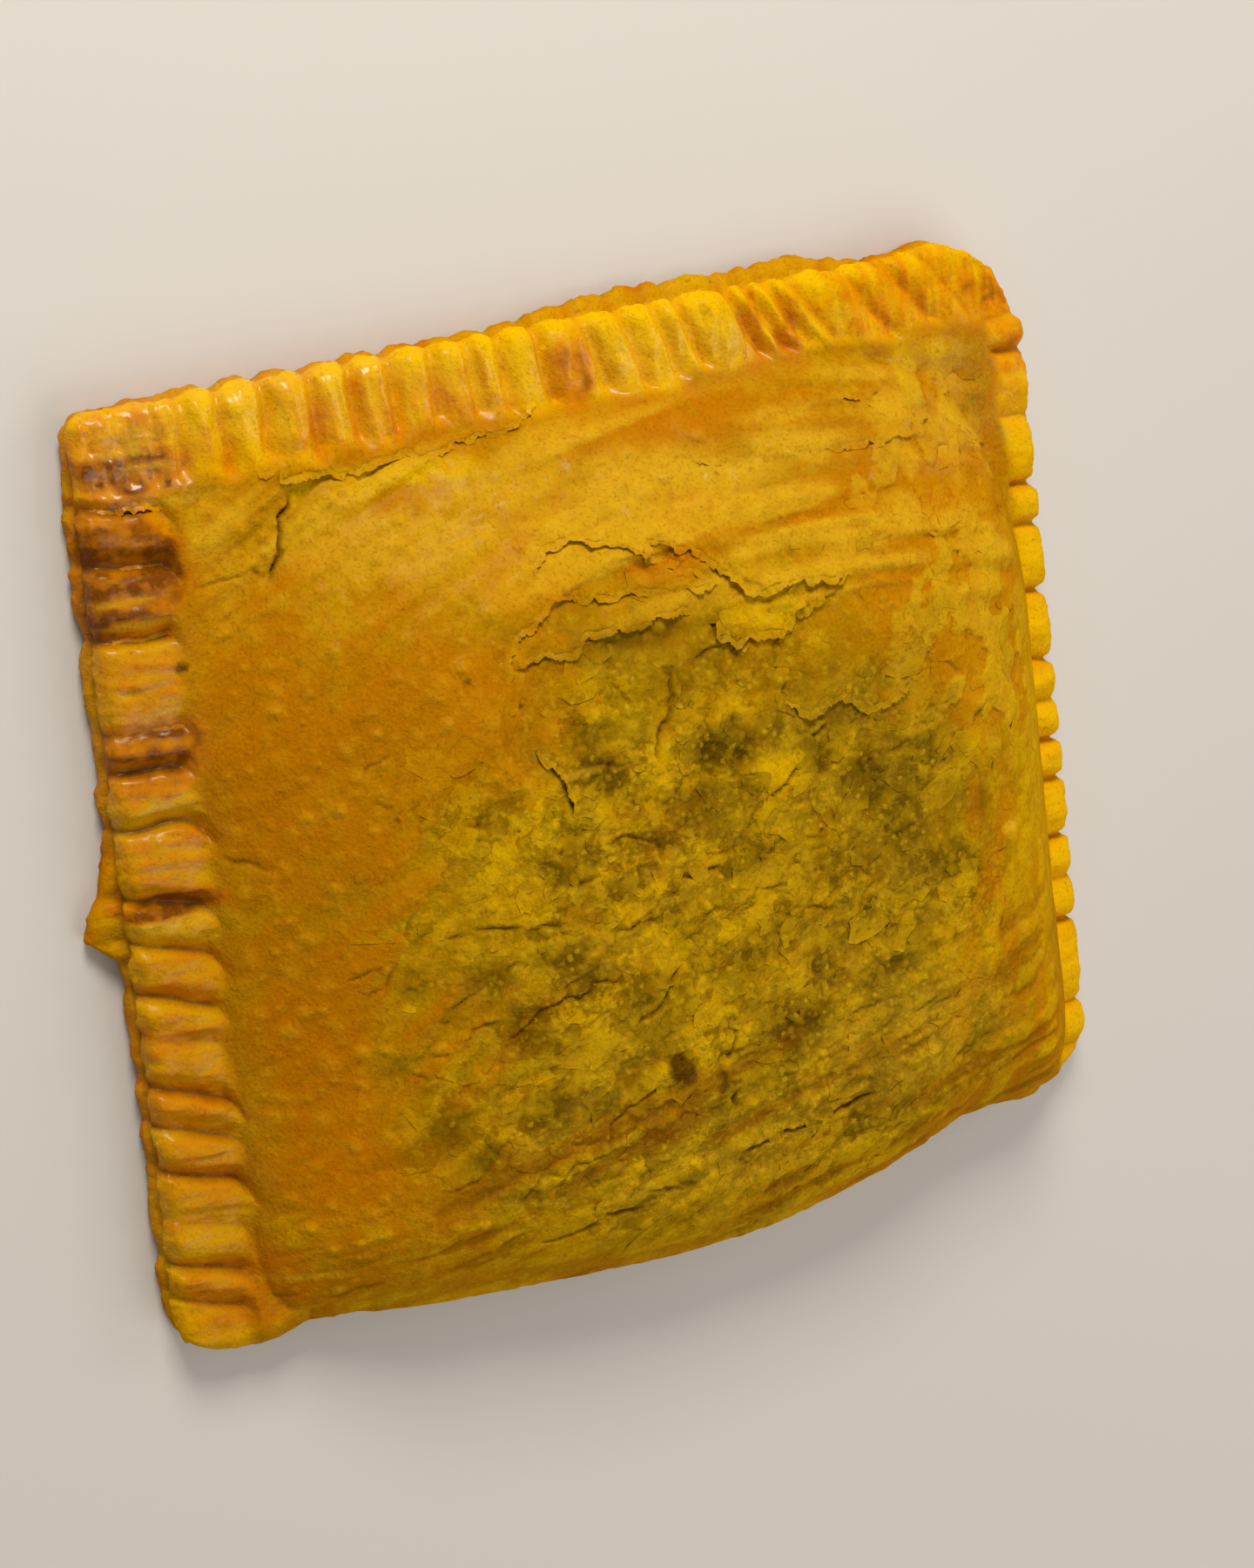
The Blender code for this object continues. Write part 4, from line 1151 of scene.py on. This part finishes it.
def back_colours(x, y):
    """Browning of the underside, darkest where it lay on the tray."""
    least, broad, fine = BACK_TOAST
    spots = rough(x, y, BACK_TOAST_SIZES[0], SEED + 90)
    toast = least + broad * spots + fine * rough(x, y, BACK_TOAST_SIZES[1], SEED + 91)
    pale = BACK_PALE * rough(x, y, BACK_PALE_SIZE, SEED + 92)
    return {"toast": np.clip(toast, 0.0, 1.0), "pale": np.clip(pale, 0.0, 1.0)}


def form_colours(x, y):
    """Name and strength of each colour that the wrinkles, the lumps and the islands bring, with painted
    highlight on ridges and lump tops, and painted shade in the valleys of the folds.
    """
    for kind, _, shades in WRINKLES:
        wrinkle, zone = kind(x, y)
        for name, most, start, full in shades:
            yield name, most * ramp(start, full, wrinkle) * zone
    yield "pale", LUMP_HIGHLIGHT * np.clip(soft_lumps(x, y) / LUMPS[0][2], 0.0, 1.0)
    left_over, zone = islands(x, y)
    yield "pale", ISLAND_PALE * left_over
    yield "toast", ISLAND_TOAST * (zone - left_over)


def dark_places(x, y):
    """How dark the cracks and the burnt specks are, with painted shadow in the hollows under broken edges,
    and painted shade along the creases of the crimps and in the valleys of the fold lines.
    """
    fold, fold_zone = fold_lines(x, y)
    dark = np.maximum.reduce([
        cracks(x, y)[1],
        UNDERCUT_SHADE * broken_layers(x, y)[1],
        strongest(creases, x, y, CREASE_SHADE),
        FOLD_SHADE * ramp(*FOLD_SHADE_EDGE, fold) * fold_zone,
    ])
    ragged_x, ragged_y = wandering(x, y)
    for middle_x, middle_y, radius in SPECKS:
        off = np.hypot(ragged_x - middle_x, ragged_y - middle_y) / radius
        dark = np.maximum(dark, ramp(*SPECK_EDGE, off))
    return dark


def colour_fields(x, y, z):
    """Every colour attribute at points of the crust."""
    front = ramp(*FRONT_START, z)
    fields = {name: painted(x, y, name) for name in PAINT}
    for name, under in back_colours(x, y).items():
        fields[name] = fields[name] * front + under * (1.0 - front)
    for name in ("olive", "grey", "lemon"):
        fields[name] = fields[name] * front
    rim = strongest(on_rim, x, y)
    wall = ramp(*WALL_TOP, z) * ramp(*WALL_FOOT, z) * rim
    fields["lemon"] = np.maximum(fields["lemon"], WALL_LEMON * wall)
    # Painted shade in the crimps' grooves, fuller where they cut deeper
    fields["groove"] = np.clip(strongest(grooves, x, y) / GROOVE_SHADE_FULL, 0.0, 1.0) * front
    fields["honey"] = strongest(on_rim, x, y, HONEY_SHARE) * front
    layers = np.sum([crimp_streaks(side, x, y) for side in CRIMPED], 0)
    layers = layers + LAYER_ROUGH * rough(x, y, LAYER_ROUGH_SIZE, SEED + 74) * rim
    toast = fields["toast"] * (1.0 + LAYER_TOAST[0] * layers) + LAYER_TOAST[1] * layers * front
    fields["toast"] = np.clip(toast, 0.0, TOAST_MOST)
    fields["broad"] = ramp(*BROAD_EDGE, rough(x, y, BROAD_SIZE, SEED + 94))
    # Colours of wrinkles, lumps and islands: painted highlight on ridges and lump tops, painted shade in fold
    # valleys
    for name, strength in form_colours(x, y):
        fields[name] = np.maximum(fields[name], strength * front)
    # Cracks and burnt specks, with painted shade in the hollows, creases and fold valleys
    fields["dark"] = dark_places(x, y) * front
    flaky = flaky_zone(x, y) * front
    fields["flaky"] = flaky
    fields["plate"] = 0.5 + plates(x, y)
    raised = [bubbles(x, y, size, share, SEED + seed) for size, share, _, seed in BLISTERS]
    fields["blister"] = np.maximum.reduce(raised) * flaky
    fields["fresh"], fields["stale"] = np.zeros_like(x), np.zeros_like(x)
    broad, fine = [rough(x, y, size, SEED + 95 + k) for k, size in enumerate(SHINING_SIZES)]
    shining = ramp(*SHINING_EDGE, broad + SHINING_FINE * fine)
    fields["olive"] = np.maximum(fields["olive"], SHINING_OLIVE * shining * flaky)
    return fields


def add_fields(mesh, centre):
    """Write the colour attributes of a mesh that is placed in the frame."""
    places = np.zeros(len(mesh.vertices) * 3, np.float32)
    mesh.vertices.foreach_get("co", places)
    places = places.reshape(-1, 3).astype(float) / MM + centre
    for name, values in colour_fields(*places.T).items():
        attribute = mesh.attributes.new(name, "FLOAT", "POINT")
        attribute.data.foreach_set("value", values.astype(np.float32))


def limit_field(mesh, name, least, most):
    """Keep a colour attribute of a mesh between two strengths."""
    values = np.zeros(len(mesh.vertices), np.float32)
    mesh.attributes[name].data.foreach_get("value", values)
    mesh.attributes[name].data.foreach_set("value", np.clip(values, least, most))


# Colours of the crust, as linear red, green and blue
GOLD = (0.38, 0.172, 0.0005, 1.0)
HONEY = (0.80, 0.450, 0.001, 1.0)
ORANGE = (0.66, 0.225, 0.001, 1.0)
AMBER = (0.48, 0.150, 0.0005, 1.0)
RUST = (0.19, 0.048, 0.001, 1.0)
# A few spots of OLIVE and GREY are painted shade; PALE and LEMON also carry painted highlight
OLIVE = (0.080, 0.041, 0.0005, 1.0)
GREY = (0.22, 0.138, 0.004, 1.0)
PALE = (0.66, 0.37, 0.010, 1.0)
LEMON = (0.66, 0.39, 0.0005, 1.0)
# DARK colours the cracks and burnt specks, and the painted shade in hollows, creases and fold valleys
DARK = (0.085, 0.030, 0.0005, 1.0)
BLISTER = (0.56, 0.34, 0.006, 1.0)

# Noises of the crust's material: size in millimetres, detail, roughness and seed
NOISES = {
    "middle": (1.8, 3.0, 0.6, 0.0),
    "fine": (0.45, 2.0, 0.6, 0.0),
    "grain": (0.55, 2.0, 0.6, 0.0),
    "bumps": (1.4, 2.0, 0.55, 0.0),
    "fresh": (4.2, 4.0, 0.68, 3.0),
    "worn": (5.0, 4.0, 0.68, 7.0),
    "thin": (2.0, 3.0, 0.68, 11.0),
    "mottled": (2.4, 3.0, 0.7, 15.0),
    "floury": (3.0, 3.0, 0.7, 19.0),
    "burnt": (0.9, 2.0, 0.7, 23.0),
}

# Values between which a noise sets in, and its strength at each of them
SETS_IN = {
    "middle": (0.36, 0.66, 0.0, 1.0),
    "fine": (0.34, 0.68, 0.0, 1.0),
    "mottled": (0.48, 0.58, 0.0, 0.36),
    "floury": (0.51, 0.60, 0.0, 0.18),
    "burnt": (0.62, 0.70, 0.0, 0.30),
}

# Ragged cells of the flaky skin: size, size and reach of their raggedness, and how they are stretched
FLAKE_CELLS = (2.6, 1.2, 1.2, (0.7, 1.0, 1.0))
CHIP_CELLS = (1.05, 0.7, 0.35, (1.0, 1.0, 1.0))
RAGGED_DETAIL = 3.0

# Colours of the flaky skin: what each follows, the values between which it sets in, its strength and colour
FLAKY_TINTS = (
    ("plate", 0.52, 0.80, 0.45, LEMON),
    ("fresh", 0.535, 0.56, 0.45, LEMON),
    ("flake", 0.74, 0.78, 0.35, LEMON),
    ("flake", 0.26, 0.22, 0.35, GREY),
    ("thin", 0.54, 0.57, 0.35, GREY),
    ("plate", 0.44, 0.15, 0.50, OLIVE),
    ("worn", 0.53, 0.555, 0.50, OLIVE),
)

# How strongly an attribute shows in the colour, and where the finer steps of the colour set in
# groove is painted shade in the grooves, and dark also holds painted shade
SHOWS = {"fresh": 0.40, "stale": 0.40, "honey": 0.92, "groove": 0.28, "blister": 0.35, "dark": 0.85}
UNEVEN_PAINT = (0.7, 1.2)
SMOOTH_ON_FLAKY = 0.15
BROAD_AMBER = 0.30
MIDDLE_LEMON = 0.16
TOAST_AMBER = (0.0, 0.55)
TOAST_RUST = (0.55, 1.20)
CHIP_MIDDLE = (0.42, 0.24)
CHIP_CHOSEN = (0.72, 0.78)
CHIP_SHOWS = (0.15, 0.55)
FINE_RUST = (0.0, 0.35, 0.26, 0.0)
FINE_PALE = (0.72, 1.0, 0.0, 0.18)

# Surface of the crust: roughness, gloss where it is painted, and the height of its bumps in millimetres
ROUGHNESS = (0.52, 0.68)
COAT_WEIGHT = (0.02, 0.90)
COAT_ROUGHNESS = 0.26
BUMP_STRENGTH = 0.55
BUMP_HEIGHT = 0.30

# Where a Mix node for colours has its share, its two colours and its result
MIX_INPUTS = (0, 6, 7)
MIX_RESULT = 2


class Nodes:
    """Short ways to add shader nodes to one material."""

    def __init__(self, material):
        self.tree = material.node_tree

    def add(self, kind, inputs=None, **settings):
        """A node with its settings, and with numbers on its inputs."""
        node = self.tree.nodes.new(kind)
        for name, value in settings.items():
            setattr(node, name, value)
        for name, value in (inputs or {}).items():
            node.inputs[name].default_value = value
        return node

    def link(self, output, socket):
        """Link one node's output to a socket of another."""
        self.tree.links.new(output, socket)

    def feed(self, socket, value):
        """Set a socket to a number or a colour, or link another node's output to it."""
        if isinstance(value, (int, float, tuple)):
            socket.default_value = value
        else:
            self.link(value, socket)

    def field(self, name):
        """A colour attribute of the mesh."""
        return self.add("ShaderNodeAttribute", attribute_name=name).outputs["Fac"]

    def place(self):
        """Places on the object."""
        return self.add("ShaderNodeTexCoord").outputs["Object"]

    def noise(self, size, detail, roughness, seed):
        """Noise with lumps of one size in millimetres, 0 to 1."""
        inputs = {"W": seed, "Scale": 1.0 / (size * MM), "Detail": detail, "Roughness": roughness}
        node = self.add("ShaderNodeTexNoise", inputs, noise_dimensions="4D")
        self.link(self.place(), node.inputs["Vector"])
        return node.outputs["Fac"]

    def ragged_place(self, size, reach):
        """Places moved about at random by up to half a reach, with lumps of one size, in millimetres."""
        noise = self.add("ShaderNodeTexNoise", {"Scale": 1.0 / (size * MM), "Detail": RAGGED_DETAIL})
        self.link(self.place(), noise.inputs["Vector"])
        centred = self.add("ShaderNodeVectorMath", {1: (0.5, 0.5, 0.5)}, operation="SUBTRACT")
        self.link(noise.outputs["Color"], centred.inputs[0])
        scaled = self.add("ShaderNodeVectorMath", {"Scale": 2.0 * reach * MM}, operation="SCALE")
        self.link(centred.outputs["Vector"], scaled.inputs[0])
        moved = self.add("ShaderNodeVectorMath", operation="ADD")
        self.link(self.place(), moved.inputs[0])
        self.link(scaled.outputs["Vector"], moved.inputs[1])
        return moved.outputs["Vector"]

    def cells(self, size, ragged_size, ragged_reach, stretch):
        """Ragged cells of one size: a random number in each, and the distance from its middle."""
        turn = (0.0, 0.0, -np.radians(PLATE_ANGLE))
        mapping = self.add("ShaderNodeMapping", {"Rotation": turn, "Scale": stretch})
        self.link(self.ragged_place(ragged_size, ragged_reach), mapping.inputs["Vector"])
        node = self.add("ShaderNodeTexVoronoi", {"Scale": 1.0 / (size * MM)}, feature="F1")
        self.link(mapping.outputs["Vector"], node.inputs["Vector"])
        split = self.add("ShaderNodeSeparateColor")
        self.link(node.outputs["Color"], split.inputs["Color"])
        return split.outputs["Red"], node.outputs["Distance"]

    def remap(self, value, low, high, new_low=0.0, new_high=1.0):
        """Value stretched from one range to another, and clamped."""
        inputs = {"From Min": low, "From Max": high, "To Min": new_low, "To Max": new_high}
        node = self.add("ShaderNodeMapRange", inputs)
        self.link(value, node.inputs["Value"])
        return node.outputs["Result"]

    def maths(self, operation, first, second):
        """Two values, or a value and a number, combined."""
        node = self.add("ShaderNodeMath", operation=operation)
        for socket, value in zip(node.inputs, (first, second)):
            self.feed(socket, value)
        return node.outputs["Value"]

    def times(self, first, second):
        """Two values, or a value and a number, multiplied."""
        return self.maths("MULTIPLY", first, second)

    def mix(self, share, first, second):
        """Two colours mixed by a share."""
        node = self.add("ShaderNodeMix", data_type="RGBA", blend_type="MIX", clamp_factor=True)
        for index, value in zip(MIX_INPUTS, (share, first, second)):
            self.feed(node.inputs[index], value)
        return node.outputs[MIX_RESULT]

    def noisy(self, name):
        """One of the material's noises, from where it sets in."""
        return self.remap(self.noise(*NOISES[name]), *SETS_IN[name])

    def shown(self, name):
        """A colour attribute, as strongly as it shows."""
        return self.times(self.field(name), SHOWS[name])


def crust_colour(nodes, fine):
    """Colour of the crust: gold, browned to amber and rust, olive where the filling shows through, with
    painted shade in its grooves, hollows, creases and fold valleys, and painted highlight on ridges.
    """
    middle = nodes.noisy("middle")
    flaky = nodes.field("flaky")
    chip, chip_distance = nodes.cells(*CHIP_CELLS)
    follows = {name: nodes.noise(*NOISES[name]) for name in ("fresh", "worn", "thin")}
    follows["plate"] = nodes.field("plate")
    follows["flake"] = nodes.cells(*FLAKE_CELLS)[0]

    def strength(name):
        """A painted colour's strength, a little uneven."""
        return nodes.times(nodes.field(name), nodes.remap(middle, 0.0, 1.0, *UNEVEN_PAINT))

    smooth = nodes.remap(flaky, 0.0, 1.0, 1.0, SMOOTH_ON_FLAKY)
    broad = nodes.times(nodes.times(nodes.field("broad"), smooth), BROAD_AMBER)
    colour = nodes.mix(broad, GOLD, AMBER)
    colour = nodes.mix(nodes.times(middle, MIDDLE_LEMON), colour, LEMON)
    # Lemon, partly painted highlight on the ridges of the folds
    colour = nodes.mix(strength("lemon"), colour, LEMON)
    for name, low, high, most, tint in FLAKY_TINTS:
        share = nodes.times(nodes.remap(follows[name], low, high, 0.0, most), flaky)
        colour = nodes.mix(share, colour, tint)
    # Grey, with one spot of painted shade below the broken edges
    colour = nodes.mix(strength("grey"), colour, GREY)
    colour = nodes.mix(nodes.shown("fresh"), colour, LEMON)
    colour = nodes.mix(nodes.shown("stale"), colour, OLIVE)
    colour = nodes.mix(nodes.times(nodes.noisy("mottled"), smooth), colour, AMBER)
    colour = nodes.mix(nodes.noisy("floury"), colour, PALE)
    # Olive, with spots of painted shade below the broken edges
    colour = nodes.mix(strength("olive"), colour, OLIVE)
    colour = nodes.mix(nodes.shown("honey"), colour, HONEY)
    # Browning, with the painted shade of the grooves added to it
    toast = nodes.maths("ADD", strength("toast"), nodes.shown("groove"))
    browned = nodes.mix(nodes.field("honey"), AMBER, ORANGE)
    colour = nodes.mix(nodes.remap(toast, *TOAST_AMBER), colour, browned)
    colour = nodes.mix(nodes.remap(toast, *TOAST_RUST), colour, RUST)
    # Pale, partly painted highlight on the corner tile, a flake tip, the bands' ridges and the lump tops
    colour = nodes.mix(strength("pale"), colour, PALE)
    dots = nodes.times(nodes.remap(chip_distance, *CHIP_MIDDLE), nodes.remap(chip, *CHIP_CHOSEN))
    dots = nodes.times(dots, nodes.remap(flaky, 0.0, 1.0, *CHIP_SHOWS))
    colour = nodes.mix(dots, colour, BLISTER)
    colour = nodes.mix(nodes.shown("blister"), colour, BLISTER)
    colour = nodes.mix(nodes.remap(fine, *FINE_RUST), colour, RUST)
    colour = nodes.mix(nodes.remap(fine, *FINE_PALE), colour, BLISTER)
    colour = nodes.mix(nodes.noisy("burnt"), colour, RUST)
    # Dark cracks and specks, and painted shade in hollows, creases and fold valleys
    return nodes.mix(nodes.shown("dark"), colour, DARK)


def crust_material():
    """Baked yellow dough with a fine grain, glossy where it is painted so."""
    material = bpy.data.materials.new("baked_crust")
    material.use_nodes = True
    nodes = Nodes(material)
    shader = material.node_tree.nodes["Principled BSDF"]
    fine = nodes.noisy("fine")
    nodes.link(crust_colour(nodes, fine), shader.inputs["Base Color"])
    nodes.link(nodes.remap(fine, 0.0, 1.0, *ROUGHNESS), shader.inputs["Roughness"])
    nodes.link(nodes.remap(nodes.field("gloss"), 0.0, 1.0, *COAT_WEIGHT), shader.inputs["Coat Weight"])
    shader.inputs["Coat Roughness"].default_value = COAT_ROUGHNESS
    shader.inputs["Metallic"].default_value = 0.0
    shader.inputs["Specular IOR Level"].default_value = 0.0
    grain = nodes.maths("ADD", nodes.noise(*NOISES["grain"]), nodes.noise(*NOISES["bumps"]))
    bump = nodes.add("ShaderNodeBump", {"Strength": BUMP_STRENGTH, "Distance": BUMP_HEIGHT * MM})
    nodes.link(grain, bump.inputs["Height"])
    nodes.link(bump.outputs["Normal"], shader.inputs["Normal"])
    return material


def floor_material():
    """Plain pale floor."""
    material = bpy.data.materials.new("pale_floor")
    material.use_nodes = True
    shader = material.node_tree.nodes["Principled BSDF"]
    shader.inputs["Base Color"].default_value = FLOOR_COLOUR
    shader.inputs["Roughness"].default_value = FLOOR_ROUGHNESS
    return material


def add_piece(name, points, faces, centre):
    """A new object with a mesh of its own, from points in millimetres and the one that becomes the origin."""
    mesh = bpy.data.meshes.new(name)
    mesh.from_pydata(((points - centre) * MM).tolist(), [], faces)
    piece = bpy.data.objects.new(name, mesh)
    bpy.context.scene.collection.objects.link(piece)
    return piece


def add_thin_piece(name, points, faces, centre, material, limits):
    """A new object of thin plates with sharp edges, and with some of its colour attributes limited."""
    piece = add_piece(name, points, faces, centre)
    piece.data.shade_smooth()
    piece.data.set_sharp_from_angle(angle=np.radians(SHARP_ANGLE))
    piece.data.materials.append(material)
    add_fields(piece.data, centre)
    for field, (least, most) in limits.items():
        limit_field(piece.data, field, least, most)
    return piece


def make_crust(material):
    """The whole pie as one closed piece, and the point of the form that becomes the origin."""
    points, faces = closed_mesh()
    middle = (points.min(0) + points.max(0)) / 2
    centre = np.array([middle[0], middle[1], 0.0])
    pie = add_piece("patty_crust", points, faces, centre)
    thinned(pie)
    pie.data.shade_smooth()
    pie.data.materials.append(material)
    add_fields(pie.data, centre)
    return pie, centre


def unwandered(line):
    """Points that the random wandering moves onto a line."""
    places = line.copy()
    for _ in range(UNWANDER_ROUNDS):
        moved = np.column_stack(wandering(places[:, 0], places[:, 1]))
        places = places + line - moved
    return places


def uneven_along(place, size, seed):
    """A random share between 0 and 1 along a line, with lumps of one size."""
    return np.clip(FLAKE_UNEVEN[0] + FLAKE_UNEVEN[1] * noise(place, 0 * place, size, seed), 0.0, 1.0)


def flake_strip(points, seed):
    """Points and faces of a thin curled flake, held on the left of a line and reaching over its right."""
    corners = np.array(points)
    run = np.concatenate([[0.0], np.cumsum(np.hypot(*np.diff(corners, axis=0).T))])
    place = np.linspace(0.0, run[-1], max(4, int(run[-1] / FLAKE_STEP)))
    line = unwandered(np.column_stack([np.interp(place, run, corners[:, axis]) for axis in range(2)]))
    along = np.gradient(line, axis=0)
    along = along / np.linalg.norm(along, axis=1)[:, None]
    out = np.column_stack([along[:, 1], -along[:, 0]])
    taper = ramp(0.0, FLAKE_TAPER, np.minimum(place, run[-1] - place))
    draw = np.random.default_rng(SEED + 200 + seed)
    ragged = uneven_along(place, FLAKE_REACH_SIZE, SEED + 300 + seed)
    ragged = np.clip(ragged + draw.normal(0.0, FLAKE_JITTER, len(place)), 0.0, 1.0) * taper
    reach = between(FLAKE_REACH, ragged)
    lift = between(FLAKE_CURL, uneven_along(place, FLAKE_CURL_SIZE, SEED + 400 + seed) * taper)
    held = line - out * FLAKE_HOLD
    base = top_height(held[:, 0], held[:, 1]) - FLAKE_BURIED
    edge = top_height(*(line - out * FLAKE_EDGE).T)
    levels = (base, edge, edge + lift)
    thick = FLAKE_THICK * (FLAKE_TIP_THICK[0] + FLAKE_TIP_THICK[1] * taper)
    rows = []
    for share, level, depth in FLAKE_ROWS:
        spot = held + out * (share * (FLAKE_HOLD + reach))[:, None]
        rows.append(np.column_stack([spot, levels[level] - depth * thick + FLAKE_CLEAR * (share > 0.0)]))
    grid = np.stack(rows, 1)
    return grid.reshape(-1, 3), tube_faces(*grid.shape[:2])


def tube_faces(count, size):
    """Faces of a tube of rings with the same number of points each, closed at both ends."""
    faces = []
    for i in range(count - 1):
        for j in range(size):
            after = (j + 1) % size
            faces.append((i * size + j, i * size + after, (i + 1) * size + after, (i + 1) * size + j))
    faces.append(tuple(range(size))[::-1])
    faces.append(tuple((count - 1) * size + j for j in range(size)))
    return faces


def make_flakes(material, centre):
    """Every curled flake along the broken edges, as one piece."""
    points, faces = [], []
    total = 0
    for seed, line in enumerate([line for _, _, line in BROKEN_EDGES] + list(LOOSE_EDGES)):
        strip, strip_faces = flake_strip(line, seed)
        points.append(strip)
        faces += [tuple(index + total for index in face) for face in strip_faces]
        total += len(strip)
    return add_thin_piece("crust_flakes", np.concatenate(points), faces, centre, material, FLAKE_LIMITS)


def scale_rings():
    """Outlines of the scales of broken skin: middles, offsets of the corners, and how far each is raised."""
    draw = np.random.default_rng(SEED + 500)
    low, high = (CORNER["bottom"][0], CORNER["bottom"][1]), (CORNER["right"][0], CORNER["top"][1])
    middles = draw.uniform(low, high, (SCALES, 2))
    chance = flaky_zone(*middles.T) + SCALE_ON_ISLANDS * islands(*middles.T)[1]
    middles = middles[draw.uniform(0.0, 1.0, SCALES) < chance]
    count = len(middles)
    radius = between(SCALE_RADIUS, draw.uniform(0.0, 1.0, (count, 1)) ** 2)
    steps = np.arange(SCALE_SIDES) + draw.uniform(-SCALE_UNEVEN, SCALE_UNEVEN, (count, SCALE_SIDES))
    angle = 2.0 * np.pi * steps / SCALE_SIDES
    corner = radius * draw.uniform(*SCALE_RAGGED, (count, SCALE_SIDES))
    turn = np.radians(PLATE_ANGLE + draw.normal(0.0, SCALE_TURN, (count, 1)))
    along, across = SCALE_LONG * corner * np.cos(angle), corner * np.sin(angle)
    aside = along * np.cos(turn) - across * np.sin(turn)
    upward = along * np.sin(turn) + across * np.cos(turn)
    offset = np.stack([aside, upward], 2)
    facing = draw.uniform(0.0, 2.0 * np.pi, (count, 1))
    curl = SCALE_CURL * draw.uniform(0.0, 1.0, (count, 1)) ** 2 * np.clip(np.cos(angle - facing), 0.0, 1.0)
    raised = draw.uniform(*SCALE_RAISED, (count, 1))
    corners = middles[:, None] + offset
    x, y = corners[..., 0].ravel(), corners[..., 1].ravel()
    # The darkest crack, and painted shadow under a broken edge, at the scale's corners
    broken = np.maximum(cracks(x, y)[1], broken_layers(x, y)[1]).reshape(count, SCALE_SIDES).max(1)
    clear = broken < SCALE_CLEAR
    return middles[clear], offset[clear], curl[clear], raised[clear]


def height_at(places):
    """Height of the upper face at an array of places."""
    return top_height(places[..., 0].ravel(), places[..., 1].ravel()).reshape(places.shape[:-1])


def scale_faces(first):
    """Faces of one scale, from its middle point over its inner and outer rings to the ring below."""
    rings = [[first + 1 + ring * SCALE_SIDES + k for k in range(SCALE_SIDES)] for ring in range(3)]
    faces = []
    for k in range(SCALE_SIDES):
        after = (k + 1) % SCALE_SIDES
        faces.append((first, rings[0][k], rings[0][after]))
        for near, far in ((0, 1), (1, 2)):
            faces.append((rings[near][k], rings[far][k], rings[far][after], rings[near][after]))
    faces.append(tuple(rings[2][::-1]))
    return faces


def make_scales(material, centre):
    """Thin scales of broken skin that lie on the flaky middle, as one piece."""
    middles, offset, curl, raised = scale_rings()
    outer, inner = middles[:, None] + offset, middles[:, None] + SCALE_INNER * offset
    outer_z = height_at(outer) + raised + curl
    inner_z = height_at(inner) + raised + SCALE_INNER_CURL * curl
    middle_z = height_at(middles) + raised[:, 0]
    points = np.concatenate([
        np.dstack([middles[:, None], middle_z[:, None]]),
        np.dstack([inner, inner_z]),
        np.dstack([outer, outer_z]),
        np.dstack([outer, outer_z - SCALE_THICK]),
    ], 1)
    size = points.shape[1]
    faces = []
    for number in range(len(middles)):
        faces += scale_faces(number * size)
    scales = add_thin_piece("skin_scales", points.reshape(-1, 3), faces, centre, material, SCALE_LIMITS)
    draw = np.random.default_rng(SEED + 501)
    tone = np.repeat(draw.uniform(0.0, 1.0, len(middles)), size)
    for name, limits in SCALE_TONES.items():
        scales.data.attributes[name].data.foreach_set("value", ramp(*limits, tone).astype(np.float32))
    return scales


def make_camera(centre):
    """The camera, which looks down on the face from the upper left."""
    left, above, roll = np.radians([CAMERA_LEFT, CAMERA_ABOVE, CAMERA_ROLL])
    back = Vector((-np.sin(left) * np.cos(above), np.sin(above), np.cos(left) * np.cos(above)))
    right = Vector((0.0, 1.0, 0.0)).cross(back).normalized()
    up = back.cross(right)
    turned_right = right * np.cos(roll) + up * np.sin(roll)
    turned_up = up * np.cos(roll) - right * np.sin(roll)
    place = (Vector(CAMERA_AIM) - Vector(centre) + back * CAMERA_DISTANCE) * MM
    data = bpy.data.cameras.new("camera")
    data.lens = CAMERA_LENS
    data.clip_start = CAMERA_CLIP
    camera = bpy.data.objects.new("camera", data)
    bpy.context.scene.collection.objects.link(camera)
    rotation = Matrix((turned_right, turned_up, back)).transposed()
    camera.matrix_world = Matrix.Translation(place) @ rotation.to_4x4()
    bpy.context.scene.camera = camera


def make_light(name, place, size, power, colour):
    """A square soft light that faces the pie."""
    data = bpy.data.lights.new(name, "AREA")
    data.shape = "SQUARE"
    data.size = size
    data.energy = power
    data.color = colour
    light = bpy.data.objects.new(name, data)
    light.location = place
    light.rotation_euler = Vector(place).to_track_quat("Z", "Y").to_euler()
    bpy.context.scene.collection.objects.link(light)


def make_stage():
    """A plain pale floor, soft light and an even background."""
    corners = FLOOR_HALF * np.array([(-1.0, -1.0, 0.0), (1.0, -1.0, 0.0), (1.0, 1.0, 0.0), (-1.0, 1.0, 0.0)])
    floor = add_piece("floor", corners, [(0, 1, 2, 3)], np.zeros(3))
    floor.data.materials.append(floor_material())
    for settings in LIGHTS:
        make_light(*settings)
    world = bpy.data.worlds.new("studio")
    world.use_nodes = True
    world.node_tree.nodes["Background"].inputs["Color"].default_value = SKY_COLOUR
    world.node_tree.nodes["Background"].inputs["Strength"].default_value = SKY_STRENGTH
    bpy.context.scene.world = world
    bpy.context.scene.view_settings.view_transform = "Standard"


def main():
    """Build, place and light everything."""
    crust = crust_material()
    pie, centre = make_crust(crust)
    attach(pie, "root")
    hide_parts("patty")
    flakes = make_flakes(crust, centre)
    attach(flakes, "root")
    scales = make_scales(crust, centre)
    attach(scales, "root")
    make_stage()
    make_camera(centre)
    bpy.context.view_layer.update()


main()
